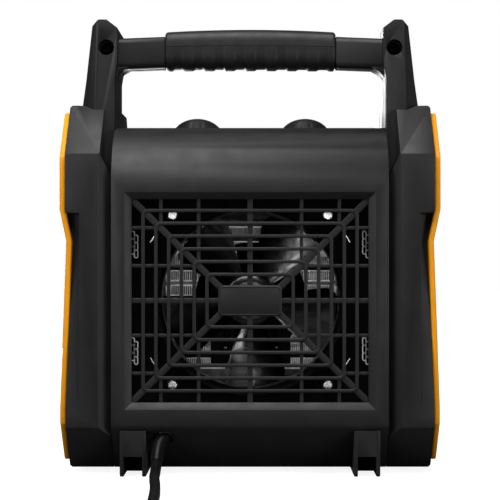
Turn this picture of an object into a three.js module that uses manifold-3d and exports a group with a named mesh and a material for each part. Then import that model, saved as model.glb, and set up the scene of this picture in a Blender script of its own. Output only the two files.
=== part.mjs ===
// A portable ceramic space heater: a drum-shaped casing between two side frames, a carrying handle,
// a fan that draws air in through the rear grille, and a block of ceramic heating modules that warms it.
// Millimetres, +Z up. The front (warm air) faces -Y, the rear (intake) faces +Y. The origin is on the
// floor, under the middle of the heater.
import * as THREE from 'three';
import { mergeVertices } from 'three/addons/utils/BufferGeometryUtils.js';
import { ConvexGeometry } from 'three/addons/geometries/ConvexGeometry.js';
import Module from 'manifold-3d';

const wasm = await Module();
wasm.setup();

// ---------------------------------------------------------------- driving dimensions
const FIT = 0.3;                 // gap between pieces that touch or seat on each other
const FAR = 999;                 // beyond every solid, for boxes that only cut

// Drum: the middle of the casing, seen from the side
const DEPTH = 205;               // rear plane to front plane
const DRUM_WIDTH = 185.4;
const DRUM_TOP = 236.3;          // above the floor
const BASE_HEIGHT = 3.2;         // underside above the floor
const UNDERCUT = 29.6;           // 45 degree chamfer under the rear and the front
const UNDERCUT_RADIUS = 5;
const SLOPE_RUN = 48;            // rounded slope from the rear plane up to the top
const SLOPE_RISE = 36.3;
const SLOPE_STEPS = 8;
const PANEL_RUN = 57;            // 45 degree slope that carries the controls
const PANEL_RADIUS = 8;
const WALL = 2.5;
const FACE_WALL = 4;             // rear and front walls
const SEAM_DEPTH = 102.5;        // rear casing ends this far from the rear plane

// Rear grille: rings with diagonals in front, thin cross bars behind them
const GRILLE_SIDE_MARGIN = 13.4; // drum side to the opening
const GRILLE_TOP_MARGIN = 14.6;  // below the crease where the slope starts
const GRILLE_BOTTOM_MARGIN = 16.5;  // above the undercut
const GRILLE_FLARE = 4.6;        // bevel around the opening
const GRILLE_BAND = 7;           // hidden border of the grille behind the wall
const RING_DEPTH = 1.8;
const CROSS_DEPTH = 1.2;
const RING_OFFSET = 7.65;        // opening edge to the middle of the outermost ring
const RING_PITCH = 8.56;
const RING_BAR = 2.4;
const DIAGONAL_BAR = 3.6;
const CROSS_BAR = 2.8;
const PLATE_HALF_WIDTH = 21.4;   // bare plate in the middle of the grille
const PLATE_HALF_HEIGHT = 10.4;
const PLATE_RADIUS = 2.7;
const COLUMN_OFFSETS = [34.5, 59.8];
const ROW_OFFSETS = [23.35, 48.8];

// Front grille
const OUTLET_TOP_MARGIN = 8;     // below the control slope
const OUTLET_BOTTOM_MARGIN = 15.2; // above the undercut
const OUTLET_BAND = 5;
const OUTLET_PITCH = 9;
const OUTLET_BAR = 2.2;

// Side frames and covers, measured outward from the frame's inner face
const FRAME_WIDTH = 30.5;        // at the shoulder
const FRAME_LOW_WIDTH = 30.1;    // below the waist
const FRAME_WAIST = 26;          // narrowest, under the top of the scoop
const FRAME_EDGE = 1.5;          // chamfered outer edges of the shoulder and the underside
const FRAME_WALL = 3;
const WING_EDGE = 7.3;           // groove between drum and wing
const GROOVE_DEPTH = 7;
const GROOVE_FLAT = 0.8;
const SCOOP_START = 21;          // recess behind the edge of the cover
const SCOOP_DEPTH = 12;
const SCOOP_TOP = 176;
const SHOULDER_STEP = 14.4;      // shoulder above the drum top
const SHOULDER_RUN = 35;         // 45 degree rear slope of the shoulder
const SHOULDER_DIP = 3;          // lower edge of the slope beside a post
const DIP_WIDTH = 14;
const FRONT_SLOPE_RUN = 65;
const SLOT_TOP_WIDTH = 7;        // dark slot beside the posts, where it meets the shoulder
const COVER_THICKNESS = 3.9;
const COVER_INSET = 5;
const COVER_END_MARGIN = 2;

// Handle
const POST_START = 35.3;         // rear face of the posts from the rear plane
const POST_DEPTH = 65;
const POST_BURIED = 81.5;        // length of a post inside the side frame
const POST_WIDTH = 23.1;         // outward from the frame's inner face, at the shoulder
const POST_NECK = 20.4;          // above the flare
const POST_FLARE = 17.5;
const POST_CROWN = 15.9;         // under the chamfer at the top
const HANDLE_RISE = 59.3;        // shoulder to the top of the posts
const BAR_START = 47;
const BAR_DEPTH = 27;
const BAR_BELOW_TOP = 10;        // top of the posts to the top of the bar
const BAR_HEIGHT = 21.4;
const BAR_RADIUS = 4;
const BAR_FILLET = 9;            // where the bar meets a post
const WAIST_HALF_DEPTH = 9;      // thinner bar inside the grip
const WAIST_LOW_MARGIN = 4.5;
const WAIST_HIGH_MARGIN = 3.5;
const GRIP_HALF_LENGTH = 59.2;
const GRIP_START = 45;
const GRIP_DEPTH = 32;
const GRIP_UNDER = 0.9;          // grip below and above the bar
const GRIP_OVER = 4.3;
const GRIP_CROWN = 1.3;          // middle bands higher than the ends
const GRIP_SEAM = 7.4;           // seam below the top of the bar
const GRIP_BAND = 7.25;
const GRIP_RAISE = 0.7;
const GRIP_RADIUS = 9;
const HANDLE_SCREW_IN = 6.05;    // outward from the frame's inner face
const HANDLE_SCREW_DOWN = 19.2;  // below the top of the posts
const HANDLE_SCREW_HEAD = 4.2;   // radii
const HANDLE_SCREW_SHANK = 1.6;
const HANDLE_SCREW_SUNK = 5.7;
const HEAD_HEIGHT = 3;
const HANDLE_SCREW_END = 8.4;    // tip to the front face of the post

// Fan and motor, by depth from the rear plane
const FAN_RADIUS = 59.5;
const FAN_CLEARANCE = 2;
const FAN_DEPTH = 29;            // middle of the blades
const HUB_RADIUS = 19;
const HUB_SHELL = 2.5;
const HUB_CORE = 6;
const HUB_NOSE = 3;              // tapered end of the hub
const HUB_REAR = 9;              // middle of the blades to the nose, and to the open end
const HUB_FRONT = 10;
const BLADES = 5;
const BLADE_PITCH = -27;         // degrees
const BLADE_THICKNESS = 1.8;
const BLADE_TIP_ANGLE = 0.37;    // half widths, radians
const BLADE_ROOT_ANGLE = 0.52;
const SHROUD_START = 27;
const SHROUD_PLATE = 2;
const SHROUD_RING = 2;
const SHROUD_RING_START = 14;
const SHROUD_RING_END = 44;
const STANDOFF_OUT = 14.9;       // screws outside the ring
const STANDOFF_ACROSS = 52.8;    // direction of the screws from the fan's axis
const STANDOFF_UP = 57.9;
const STANDOFF_RADIUS = 5;
const SCREW_HEAD = 4.4;
const SCREW_SHANK = 1.9;
const LEAD_NOTCH_HALF = 9;
const LEAD_NOTCH_TOP = 38;
const SHAFT_RADIUS = 2.5;
const ROTOR_RADIUS = 14;
const ROTOR_GAP = 0.6;
const BUSH_RADIUS = 6;
const BUSH_LENGTH = 6;
const BRACKET_START = 58;        // bearing brackets and stator
const STATOR_START = 66;
const STATOR_END = 86;
const BRACKET_END = 94;
const BRACKET_THICKNESS = 4;
const STATOR_HALF = 28;
const STATOR_TOP = 20;
const STATOR_LOW = 46;
const WINDOW_HALF = 19;          // opening in the stator above its lower leg
const WINDOW_TOP = 19;
const LEG_TOP = 36;
const COIL_WRAP = 5;
const MOTOR_SCREW_X = 23;
const MOTOR_SCREW_HOLE = 2.3;
const STRAP = 1.5;
const STRAP_HALF_HEIGHT = 8;
const STRAP_MIDDLE = 30;          // half length of the raised middle that holds the motor
const STRAP_FOOT = 14;
const SHIELD_RADIUS = 40;
const SHIELD_SHEET = 1;

// Heater block, by depth from the rear plane
const HEATER_SIDE_MARGIN = 17.7; // drum side to the heater duct
const HEATER_START = 60;
const HEATER_END = 128;
const DUCT_SHEET = 1;
const DUCT_LIP = 5;             // least wall between the inlet and the duct's sides
const DUCT_FLANGE = 1.5;
const DUCT_FLANGE_HALF = 40;
const MODULES = 5;
const MODULE_PITCH = 21.1;
const MODULE_START = 100;
const MODULE_DEPTH = 22;
const MODULE_MARGIN = 5;         // first module to the duct
const RAIL_WIDTH = 8;
const RAIL_GRIP = 3;
const BAR_HALF = 1.3;            // ceramic bar with a row of fins on each side
const FIN_HEIGHT = 8;
const FIN_END = 4;
const CUTOUT_DEPTH = 82;
const CUTOUT_X = 30;
const FUSE_X = -31;
const FUSE_HALF = 9;
const FUSE_RADIUS = 2.2;
const TERMINAL_DEPTH = 108.5;
const TERMINAL_LENGTH = 16;
const TERMINAL_HEIGHT = 13;
const TERMINAL_PITCH = 10;

// Tilt switch
const TILT_X = -58;
const TILT_DEPTH = 62;           // from the front plane
const TILT_PIVOT = 30;           // above the casing floor
const TILT_PIN = 1.5;
const TILT_BOB = 7;
const TILT_DROP = 18;

// Controls
const KNOB_RADIUS = 19.5;
const KNOB_HEIGHT = 25.5;
const KNOB_RIM = 3;
const KNOB_SKIN = 3.5;
const KNOB_SPACING = 82.2;
const KNOB_DOWN = 20.5;          // knob axis from the top edge of the slope
const KNOB_RIBS = 24;
const KNOB_SHAFT_RADIUS = 3;
const PANEL_MARGIN = 6;
const PANEL_LENGTH = 66;
const PANEL_SIDE = 14;
const LENS_RADIUS = 3;
const SWITCH_DEPTH = 20;         // bodies behind the panel
const SWITCH_RADIUS = 15;

// Feet
const FOOT_INSET = 5.8;
const FOOT_WIDTH = 17.3;
const FOOT_FIN = 2.4;
const FOOT_LENGTH = 60;
const FOOT_PAD = 10;             // full width sole at the inner end
const FOOT_PLATE_LOW = 13.3;     // lower edge of the plate between the fins
const FOOT_TOP_MARGIN = 1.8;

// Cord
const CORD_DIAMETER = 7;
const GLAND_FROM_SIDE = 35.5;
const GLAND_INSET = 7.2;         // up the undercut from its outer edge, along each axis
const GLAND_RADIUS = 6;
const GLAND_FLANGE = 2.4;
const GLAND_BACK = 8.4;
const RELIEF_RADIUS = 6.2;
const RELIEF_TAPER = 1.9;
// Chosen route of the cord from the strain relief to the coil.
const CORD_ROUTE = [
  [60.8, 112.9, 10.2], [61.2, 117.0, 8.3], [61.5, 121.4, 6.7], [61.7, 126.5, 5.3], [61.8, 131.8, 4.3],
  [61.7, 137.0, 3.8], [61.4, 142.5, 3.55], [60.4, 155, 3.55], [59.2, 170, 3.55], [58.0, 190, 3.55],
  [57.0, 210, 3.55], [56.2, 235, 3.55], [55.6, 260, 3.55], [55.2, 285, 3.55], [55.0, 310, 3.55],
  [55.0, 328, 3.55], [55.0, 345.4, 3.55],
];
const COIL_CENTRE = [3.6, 373];
const COIL_INNER = 26.7;
const COIL_OUTER = 55.1;
const COIL_HEIGHT = 14.2;
const COIL_EDGE = 1.5;
const COIL_LIFT = 0.05;
const PLUG_X = 48;
const PLUG_Y = 411.5;
const PLUG_Z = 12.6;
const PLUG_NECK = 16;
const PLUG_BODY = 30;
const PLUG_HALF = [13, 12.4];
const PRONG_SPACING = 12.7;

// ---------------------------------------------------------------- derived places
const rearY = DEPTH / 2;
const frontY = -DEPTH / 2;
const fromRear = (depth) => rearY - depth;
const fromFront = (depth) => frontY + depth;
const seamY = fromRear(SEAM_DEPTH);
const drumHalf = DRUM_WIDTH / 2;
const crease = DRUM_TOP - SLOPE_RISE;
const undercutTop = BASE_HEIGHT + UNDERCUT;
const shoulderTop = DRUM_TOP + SHOULDER_STEP;
const sideX = drumHalf + FIT;
const openHalf = drumHalf - GRILLE_SIDE_MARGIN;
const openTop = crease - GRILLE_TOP_MARGIN;
const openBottom = undercutTop + GRILLE_BOTTOM_MARGIN;
const openHalfHeight = (openTop - openBottom) / 2;
const fanZ = (openTop + openBottom) / 2;
const ringInner = FAN_RADIUS + FAN_CLEARANCE;
const ringOuter = ringInner + SHROUD_RING;
const heaterHalf = Math.max(drumHalf - HEATER_SIDE_MARGIN, ringInner + DUCT_LIP);
const heaterHalfHeight = Math.max((MODULES * MODULE_PITCH) / 2 + MODULE_MARGIN, ringInner + DUCT_LIP);
const outletTop = DRUM_TOP - PANEL_RUN - OUTLET_TOP_MARGIN;
const outletBottom = undercutTop + OUTLET_BOTTOM_MARGIN;
const floorInside = BASE_HEIGHT + WALL + FIT;

// ---------------------------------------------------------------- geometry helpers
const UNIT_X = new THREE.Vector3(1, 0, 0);
const UNIT_Y = new THREE.Vector3(0, 1, 0);
const UNIT_Z = new THREE.Vector3(0, 0, 1);

// A closed three.js geometry as a solid that can be joined and cut.
function solidOf(geometry) {
  const bare = geometry.clone();
  bare.deleteAttribute('normal');
  bare.deleteAttribute('uv');
  const merged = mergeVertices(bare, 1e-4);
  return new wasm.Manifold(new wasm.Mesh({
    numProp: 3,
    vertProperties: merged.attributes.position.array,
    triVerts: Uint32Array.from(merged.index.array),
  }));
}

// A solid as an indexed three.js geometry.
function geometryOf(solid) {
  const made = solid.getMesh();
  const geometry = new THREE.BufferGeometry();
  geometry.setAttribute('position', new THREE.BufferAttribute(made.vertProperties, 3));
  geometry.setIndex(new THREE.BufferAttribute(made.triVerts, 1));
  return geometry;
}

const join = (solids) => solids.reduce((all, next) => all.add(next));

// Extrudes an outline between two places on an axis: 'x' outlines are (y, z), 'y' (x, z), 'z' (x, y).
function prism(axis, outline, one, other) {
  const low = Math.min(one, other);
  const high = Math.max(one, other);
  const shape = new THREE.Shape(outline.map(([a, b]) => new THREE.Vector2(a, b)));
  const geometry = new THREE.ExtrudeGeometry(shape, { depth: high - low, bevelEnabled: false });
  const turn = new THREE.Matrix4();
  if (axis === 'x') turn.makeBasis(UNIT_Y, UNIT_Z, UNIT_X).setPosition(low, 0, 0);
  if (axis === 'y') turn.makeBasis(UNIT_X, UNIT_Z, UNIT_Y.clone().negate()).setPosition(0, high, 0);
  if (axis === 'z') turn.setPosition(0, 0, low);
  return solidOf(geometry.applyMatrix4(turn));
}

// A box from two limits on each axis, in either order.
function box(x0, x1, y0, y1, z0, z1) {
  const geometry = new THREE.BoxGeometry(Math.abs(x1 - x0), Math.abs(y1 - y0), Math.abs(z1 - z0));
  return solidOf(geometry.translate((x0 + x1) / 2, (y0 + y1) / 2, (z0 + z1) / 2));
}

// A round rod or cone between two points.
function rod(from, to, radius, sides = 16, endRadius = radius) {
  const start = new THREE.Vector3(...from);
  const along = new THREE.Vector3(...to).sub(start);
  const geometry = new THREE.CylinderGeometry(endRadius, radius, along.length(), sides);
  geometry.translate(0, along.length() / 2, 0);
  geometry.applyQuaternion(new THREE.Quaternion().setFromUnitVectors(UNIT_Y, along.normalize()));
  return solidOf(geometry.translate(...from));
}

const rodY = (x, z, radius, y0, y1, sides) => rod([x, y0, z], [x, y1, z], radius, sides);

// Rounds the corners [a, b, radius] of an outline with short arcs.
function rounded(corners, steps = 3) {
  return corners.flatMap(([a, b, radius = 0], i) => {
    if (!radius) return [[a, b]];
    const corner = new THREE.Vector2(a, b);
    const before = new THREE.Vector2(...corners.at(i - 1)).sub(corner).normalize();
    const after = new THREE.Vector2(...corners[(i + 1) % corners.length]).sub(corner).normalize();
    const half = Math.acos(before.dot(after)) / 2;
    const middle = before.clone().add(after).normalize().multiplyScalar(radius / Math.sin(half));
    const centre = corner.clone().add(middle);
    const reach = radius / Math.tan(half);
    const start = corner.clone().addScaledVector(before, reach).sub(centre);
    const turn = -Math.sign(before.cross(after)) * (Math.PI - 2 * half);
    return Array.from({ length: steps + 1 }, (_, k) => {
      const spot = start.clone().rotateAround(new THREE.Vector2(), (turn * k) / steps).add(centre);
      return [spot.x, spot.y];
    });
  });
}

const roundedRectangle = (halfA, halfB, radius, steps = 3) => rounded([
  [-halfA, -halfB, radius], [halfA, -halfB, radius], [halfA, halfB, radius], [-halfA, halfB, radius],
], steps);

const shifted = (outline, a, b) => outline.map(([p, q]) => [p + a, q + b]);

// Moves every edge of a convex outline inwards.
function inset(outline, distance) {
  const points = outline.map(([a, b]) => new THREE.Vector2(a, b));
  const inward = THREE.ShapeUtils.area(points) > 0 ? 1 : -1;
  const edges = points.map((p, i) => {
    const along = points[(i + 1) % points.length].clone().sub(p).normalize();
    const normal = new THREE.Vector2(-along.y, along.x).multiplyScalar(inward * distance);
    return { at: p.clone().add(normal), along };
  });
  return edges.map((edge, i) => {
    const last = edges.at(i - 1);
    const t = edge.at.clone().sub(last.at).cross(edge.along) / last.along.cross(edge.along);
    const spot = last.at.clone().addScaledVector(last.along, t);
    return [spot.x, spot.y];
  });
}

// Cuts the drum's opening through a wall across Y. It widens by a flare towards the wall's outer face.
function flaredOpening(low, high, wallY, outerY) {
  const past = 1 + 1 / Math.abs(outerY - wallY);
  const grow = GRILLE_FLARE * past;
  const endY = wallY + (outerY - wallY) * past;
  const corners = [[0, wallY], [grow, endY]].flatMap(([g, y]) => [
    [-openHalf - g, y, low - g], [openHalf + g, y, low - g],
    [openHalf + g, y, high + g], [-openHalf - g, y, high + g],
  ]);
  const flare = solidOf(new ConvexGeometry(corners.map((c) => new THREE.Vector3(...c))));
  const inward = Math.sign(wallY - outerY);
  return flare.add(box(-openHalf, openHalf, wallY + inward, wallY - inward * 0.01, low, high));
}

// ---------------------------------------------------------------- materials
const paint = (color, roughness, metalness = 0) => (
  () => new THREE.MeshStandardMaterial({ color, roughness, metalness })
);
const blackPlastic = paint(0x2b2b2d, 0.55);
const gripRubber = paint(0x262627, 0.75);
const orangePlastic = paint(0xe08c12, 0.45);
const steel = paint(0xb9bcc0, 0.3, 1);
const galvanised = paint(0x9a9da0, 0.45, 1);
const blackSteel = paint(0x1a1a1b, 0.6, 0.4);
const aluminium = paint(0xd4d6d8, 0.35, 1);
const bronze = paint(0xa5793c, 0.4, 1);
const copper = paint(0x8a3f1d, 0.45, 0.6);
const whitePlastic = paint(0xd8d5cc, 0.5);
const lensRed = paint(0xb51a12, 0.2);
const cordRubber = paint(0x1c1c1d, 0.6);

const heater = new THREE.Group();
heater.name = 'ceramic_space_heater';

// Adds one piece as a named mesh. Its solid is in the parent group's frame.
function addPiece(name, solid, material, parent = heater) {
  const geometry = geometryOf(solid);
  geometry.computeVertexNormals();
  const mesh = new THREE.Mesh(geometry, material());
  mesh.name = name;
  parent.add(mesh);
  return mesh;
}

const SIDES = [['left', 1], ['right', -1]];
const CORNERS = [[1, 1], [-1, 1], [1, -1], [-1, -1]];

// ---------------------------------------------------------------- casing
function drumOutline() {
  const radius = (SLOPE_RUN ** 2 + SLOPE_RISE ** 2) / (2 * SLOPE_RISE);
  const start = Math.asin((radius - SLOPE_RISE) / radius);
  const slope = Array.from({ length: SLOPE_STEPS + 1 }, (_, k) => {
    const angle = start + ((Math.PI / 2 - start) * k) / SLOPE_STEPS;
    return [fromRear(SLOPE_RUN) + radius * Math.cos(angle), DRUM_TOP - radius + radius * Math.sin(angle)];
  });
  return rounded([
    [fromRear(UNDERCUT), BASE_HEIGHT],
    [rearY, undercutTop, UNDERCUT_RADIUS],
    ...slope,
    [fromFront(PANEL_RUN), DRUM_TOP, PANEL_RADIUS],
    [frontY, DRUM_TOP - PANEL_RUN, PANEL_RADIUS],
    [frontY, undercutTop, UNDERCUT_RADIUS],
    [fromFront(UNDERCUT), BASE_HEIGHT],
  ]);
}

function drumShell() {
  const cavity = prism('x', inset(drumOutline(), WALL), -drumHalf + WALL, drumHalf - WALL);
  const faces = box(-drumHalf, drumHalf, fromFront(FACE_WALL), fromRear(FACE_WALL), 0, DRUM_TOP);
  return prism('x', drumOutline(), -drumHalf, drumHalf).subtract(cavity.intersect(faces));
}

// The cord leaves through the undercut, at right angles to it.
const glandX = drumHalf - GLAND_FROM_SIDE;
const glandSpot = new THREE.Vector3(glandX, fromRear(GLAND_INSET), undercutTop - GLAND_INSET);
const glandOut = new THREE.Vector3(0, 1, -1).normalize();
const alongGland = (distance) => glandSpot.clone().addScaledVector(glandOut, distance).toArray();

const behindSeam = box(-drumHalf, drumHalf, seamY + FIT / 2, rearY, 0, DRUM_TOP);
const beforeSeam = box(-drumHalf, drumHalf, frontY, seamY - FIT / 2, 0, DRUM_TOP);

const rearCasing = drumShell()
  .intersect(behindSeam)
  .subtract(flaredOpening(openBottom, openTop, fromRear(FACE_WALL), rearY))
  .subtract(rod(alongGland(-GLAND_BACK - WALL), alongGland(GLAND_RADIUS), GLAND_RADIUS + FIT, 16));
addPiece('rear_casing', rearCasing, blackPlastic);

// Control slope frame: local +Z points out of the slope, local +Y up it, origin at its top edge.
const controls = new THREE.Group();
controls.position.set(0, fromFront(PANEL_RUN), DRUM_TOP);
controls.rotation.x = Math.PI / 4;
controls.updateMatrix();
heater.add(controls);
const onSlope = (solid) => solidOf(geometryOf(solid).applyMatrix4(controls.matrix));

const panelHalf = drumHalf - PANEL_SIDE;
const panelCut = box(-panelHalf - FIT, panelHalf + FIT, -PANEL_MARGIN - PANEL_LENGTH - FIT,
  -PANEL_MARGIN + FIT, -2 * WALL, WALL);
const frontCasing = drumShell()
  .intersect(beforeSeam)
  .subtract(flaredOpening(outletBottom, outletTop, fromFront(FACE_WALL), frontY))
  .subtract(onSlope(panelCut));
addPiece('front_casing', frontCasing, blackPlastic);

// ---------------------------------------------------------------- rear intake grille
// The grille is drawn around the middle of the opening. Rings, diagonals and plate share one layer.
const ringRear = fromRear(FACE_WALL + FIT);
const ringFront = ringRear - RING_DEPTH;
const crossFront = ringFront - CROSS_DEPTH;

function grilleRing(reach) {
  const half = [openHalf - reach, openHalfHeight - reach];
  const bar = RING_BAR / 2;
  return box(-half[0] - bar, half[0] + bar, ringFront, ringRear, -half[1] - bar, half[1] + bar)
    .subtract(box(-half[0] + bar, half[0] - bar, -FAR, FAR, -half[1] + bar, half[1] - bar));
}

function intakeGrille() {
  const band = prism('y', roundedRectangle(openHalf + GRILLE_BAND, openHalfHeight + GRILLE_BAND, 3, 2),
    crossFront, ringRear);
  const hole = box(-openHalf, openHalf, -FAR, FAR, -openHalfHeight, openHalfHeight);
  const plate = prism('y', roundedRectangle(PLATE_HALF_WIDTH, PLATE_HALF_HEIGHT, PLATE_RADIUS, 2),
    ringFront, ringRear);
  const pieces = [band.subtract(hole), plate];
  const room = Math.min(openHalf - PLATE_HALF_WIDTH, openHalfHeight - PLATE_HALF_HEIGHT);
  for (let reach = RING_OFFSET; reach < room - RING_BAR; reach += RING_PITCH) {
    pieces.push(grilleRing(reach));
  }
  const slant = Math.atan2(openHalfHeight - PLATE_HALF_HEIGHT, openHalf - PLATE_HALF_WIDTH);
  const diagonalAt = (x) => PLATE_HALF_HEIGHT + (x - PLATE_HALF_WIDTH) * Math.tan(slant);
  const diagonalEnds = [PLATE_HALF_WIDTH - PLATE_RADIUS, openHalf + PLATE_RADIUS];
  const across = [-Math.sin(slant) * DIAGONAL_BAR / 2, Math.cos(slant) * DIAGONAL_BAR / 2];
  for (const [sx, sz] of CORNERS) {
    const corners = [[0, 1], [1, 1], [1, -1], [0, -1]].map(([end, side]) => [
      sx * (diagonalEnds[end] + side * across[0]),
      sz * (diagonalAt(diagonalEnds[end]) + side * across[1]),
    ]);
    pieces.push(prism('y', corners, ringFront, ringRear));
  }
  // Cross bars run straight out from the diagonals, or from the plate, to the border.
  for (const side of [-1, 1]) {
    const column = (x, width) => pieces.push(box(x - width / 2, x + width / 2, crossFront, ringFront,
      side * Math.max(PLATE_HALF_HEIGHT - 1, diagonalAt(Math.abs(x))), side * (openHalfHeight + 1)));
    const rowStart = (z) => PLATE_HALF_WIDTH + (Math.abs(z) - PLATE_HALF_HEIGHT) / Math.tan(slant);
    const row = (z, width) => pieces.push(box(side * Math.max(PLATE_HALF_WIDTH - 1, rowStart(z)),
      side * (openHalf + 1), crossFront, ringFront, z - width / 2, z + width / 2));
    column(0, DIAGONAL_BAR);
    row(0, DIAGONAL_BAR);
    COLUMN_OFFSETS.forEach((x) => [-x, x].forEach((at) => column(at, CROSS_BAR)));
    ROW_OFFSETS.forEach((z) => [-z, z].forEach((at) => row(at, CROSS_BAR)));
  }
  return join(pieces);
}
addPiece('intake_grille', intakeGrille(), blackPlastic).position.z = fanZ;

// ---------------------------------------------------------------- front outlet grille
function outletGrille() {
  const faceY = fromFront(FACE_WALL + FIT);
  const layerY = faceY + RING_DEPTH;
  const backY = layerY + CROSS_DEPTH;
  const border = box(-openHalf - GRILLE_BAND, openHalf + GRILLE_BAND, faceY, backY,
    outletBottom - OUTLET_BAND, outletTop + OUTLET_BAND);
  const hole = box(-openHalf, openHalf, -FAR, FAR, outletBottom, outletTop);
  const pieces = [border.subtract(hole)];
  const rows = Math.floor((outletTop - outletBottom) / OUTLET_PITCH);
  const spacing = (outletTop - outletBottom) / rows;
  for (let k = 1; k < rows; k += 1) {
    const z = outletBottom + k * spacing;
    pieces.push(box(-openHalf - 1, openHalf + 1, faceY, layerY, z - OUTLET_BAR / 2, z + OUTLET_BAR / 2));
  }
  for (const x of [-openHalf / 2, 0, openHalf / 2]) {
    pieces.push(box(x - OUTLET_BAR / 2, x + OUTLET_BAR / 2, layerY, backY, outletBottom - 1, outletTop + 1));
  }
  return join(pieces);
}
addPiece('outlet_grille', outletGrille(), blackPlastic);

// ---------------------------------------------------------------- side frames and covers
const sideOutline = [
  [fromRear(UNDERCUT), BASE_HEIGHT],
  [rearY, undercutTop],
  [rearY, shoulderTop - SHOULDER_RUN],
  [fromRear(SHOULDER_RUN), shoulderTop],
  [fromFront(FRONT_SLOPE_RUN), shoulderTop],
  [frontY, shoulderTop - FRONT_SLOPE_RUN],
  [frontY, undercutTop],
  [fromFront(UNDERCUT), BASE_HEIGHT],
];
// Faceted outer face of a side frame: [outward from its inner face, height]. The cover follows it.
const flankProfile = [
  [FRAME_LOW_WIDTH, BASE_HEIGHT + FRAME_EDGE],
  [FRAME_LOW_WIDTH, undercutTop + 14],
  [FRAME_WAIST, SCOOP_TOP - 18.7],
  [FRAME_WIDTH, SCOOP_TOP + 2.7],
  [FRAME_WIDTH, shoulderTop - FRAME_EDGE],
];
const outward = (side) => (distance) => side * (sideX + distance);
const postRear = fromRear(POST_START);
const postFront = fromRear(POST_START + POST_DEPTH);
const postBottom = shoulderTop - POST_BURIED;

function sideFrame(side) {
  const out = outward(side);
  const section = [
    [out(0), BASE_HEIGHT], [out(FRAME_LOW_WIDTH - FRAME_EDGE), BASE_HEIGHT],
    ...flankProfile.map(([distance, z]) => [out(distance), z]),
    [out(FRAME_WIDTH - FRAME_EDGE), shoulderTop], [out(0), shoulderTop],
  ];
  const body = prism('y', section, frontY, rearY).intersect(prism('x', sideOutline, out(-1), out(FAR)));
  const groove = prism('z', [
    [out(-1), rearY + 1], [out(WING_EDGE + GROOVE_FLAT), rearY + 1], [out(WING_EDGE + GROOVE_FLAT), rearY],
    [out(0), rearY - GROOVE_DEPTH], [out(-1), rearY - GROOVE_DEPTH],
  ], 0, shoulderTop - SHOULDER_RUN);
  const scoop = prism('x', [
    [rearY + 1, SCOOP_TOP], [fromRear(SCOOP_DEPTH), SCOOP_TOP],
    [rearY, undercutTop + 8], [rearY + 1, undercutTop],
  ], out(SCOOP_START), out(FAR));
  const slot = prism('y', [
    [out(-1), crease - 2], [out(WING_EDGE), shoulderTop - SHOULDER_RUN],
    [out(SLOT_TOP_WIDTH), shoulderTop + 1], [out(-1), shoulderTop + 1],
  ], postRear - 1, rearY + 1);
  const dipEnd = POST_WIDTH - FRAME_EDGE;
  const dip = prism('y', [
    [out(-1), shoulderTop - SHOULDER_DIP], [out(DIP_WIDTH), shoulderTop - SHOULDER_DIP],
    [out(dipEnd), shoulderTop], [out(dipEnd), shoulderTop + 1], [out(-1), shoulderTop + 1],
  ], postRear - 1, rearY + 1);
  const pocket = box(out(-1), out(POST_WIDTH + 4 * FIT), postRear + FIT, postFront - FIT,
    postBottom - FIT, shoulderTop + 1);

  // The frame is hollow under and ahead of the post, behind walls that back the groove and the scoop.
  const hollow = prism('x', inset(sideOutline, FRAME_WALL), out(FRAME_WALL - 0.5), out(FAR))
    .intersect(box(-FAR, FAR, frontY, rearY, 0, postBottom - FRAME_WALL)
      .add(box(-FAR, FAR, frontY, postFront - FRAME_WALL, 0, shoulderTop)));
  const scoopWall = box(out(SCOOP_START - FRAME_WALL), out(FAR), fromRear(SCOOP_DEPTH + FRAME_WALL), rearY,
    0, SCOOP_TOP + 10);
  const grooveWall = box(out(0), out(WING_EDGE + 2), fromRear(GROOVE_DEPTH + FRAME_WALL), rearY,
    0, shoulderTop);
  return body.subtract(hollow.subtract(scoopWall).subtract(grooveWall))
    .subtract(groove).subtract(scoop).subtract(slot).subtract(dip).subtract(pocket);
}

function sideCover(side) {
  const out = outward(side);
  const inner = flankProfile.map(([distance, z]) => [out(distance + FIT), z]);
  const outer = flankProfile.map(([distance, z]) => [out(distance + FIT + COVER_THICKNESS), z]);
  return prism('y', [...inner, ...outer.reverse()], fromFront(COVER_END_MARGIN), fromRear(COVER_END_MARGIN))
    .intersect(prism('x', inset(sideOutline, COVER_INSET), out(0), out(FAR)));
}

for (const [label, side] of SIDES) {
  addPiece(`side_frame_${label}`, sideFrame(side), blackPlastic);
  addPiece(`side_cover_${label}`, sideCover(side), orangePlastic);
}

// ---------------------------------------------------------------- handle
// The posts and the bar are one frame, split across its depth into a rear and a front half.
const handleTop = shoulderTop + HANDLE_RISE;
const barHigh = handleTop - BAR_BELOW_TOP;
const barLow = barHigh - BAR_HEIGHT;
const barMiddle = fromRear(BAR_START + BAR_DEPTH / 2);
const handleScrewZ = handleTop - HANDLE_SCREW_DOWN;
const handleScrewX = sideX + HANDLE_SCREW_IN;

const waistOf = (clearance) => box(-FAR, FAR, barMiddle - WAIST_HALF_DEPTH - clearance,
  barMiddle + WAIST_HALF_DEPTH + clearance, barLow + WAIST_LOW_MARGIN - clearance,
  barHigh - WAIST_HIGH_MARGIN + clearance);

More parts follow.
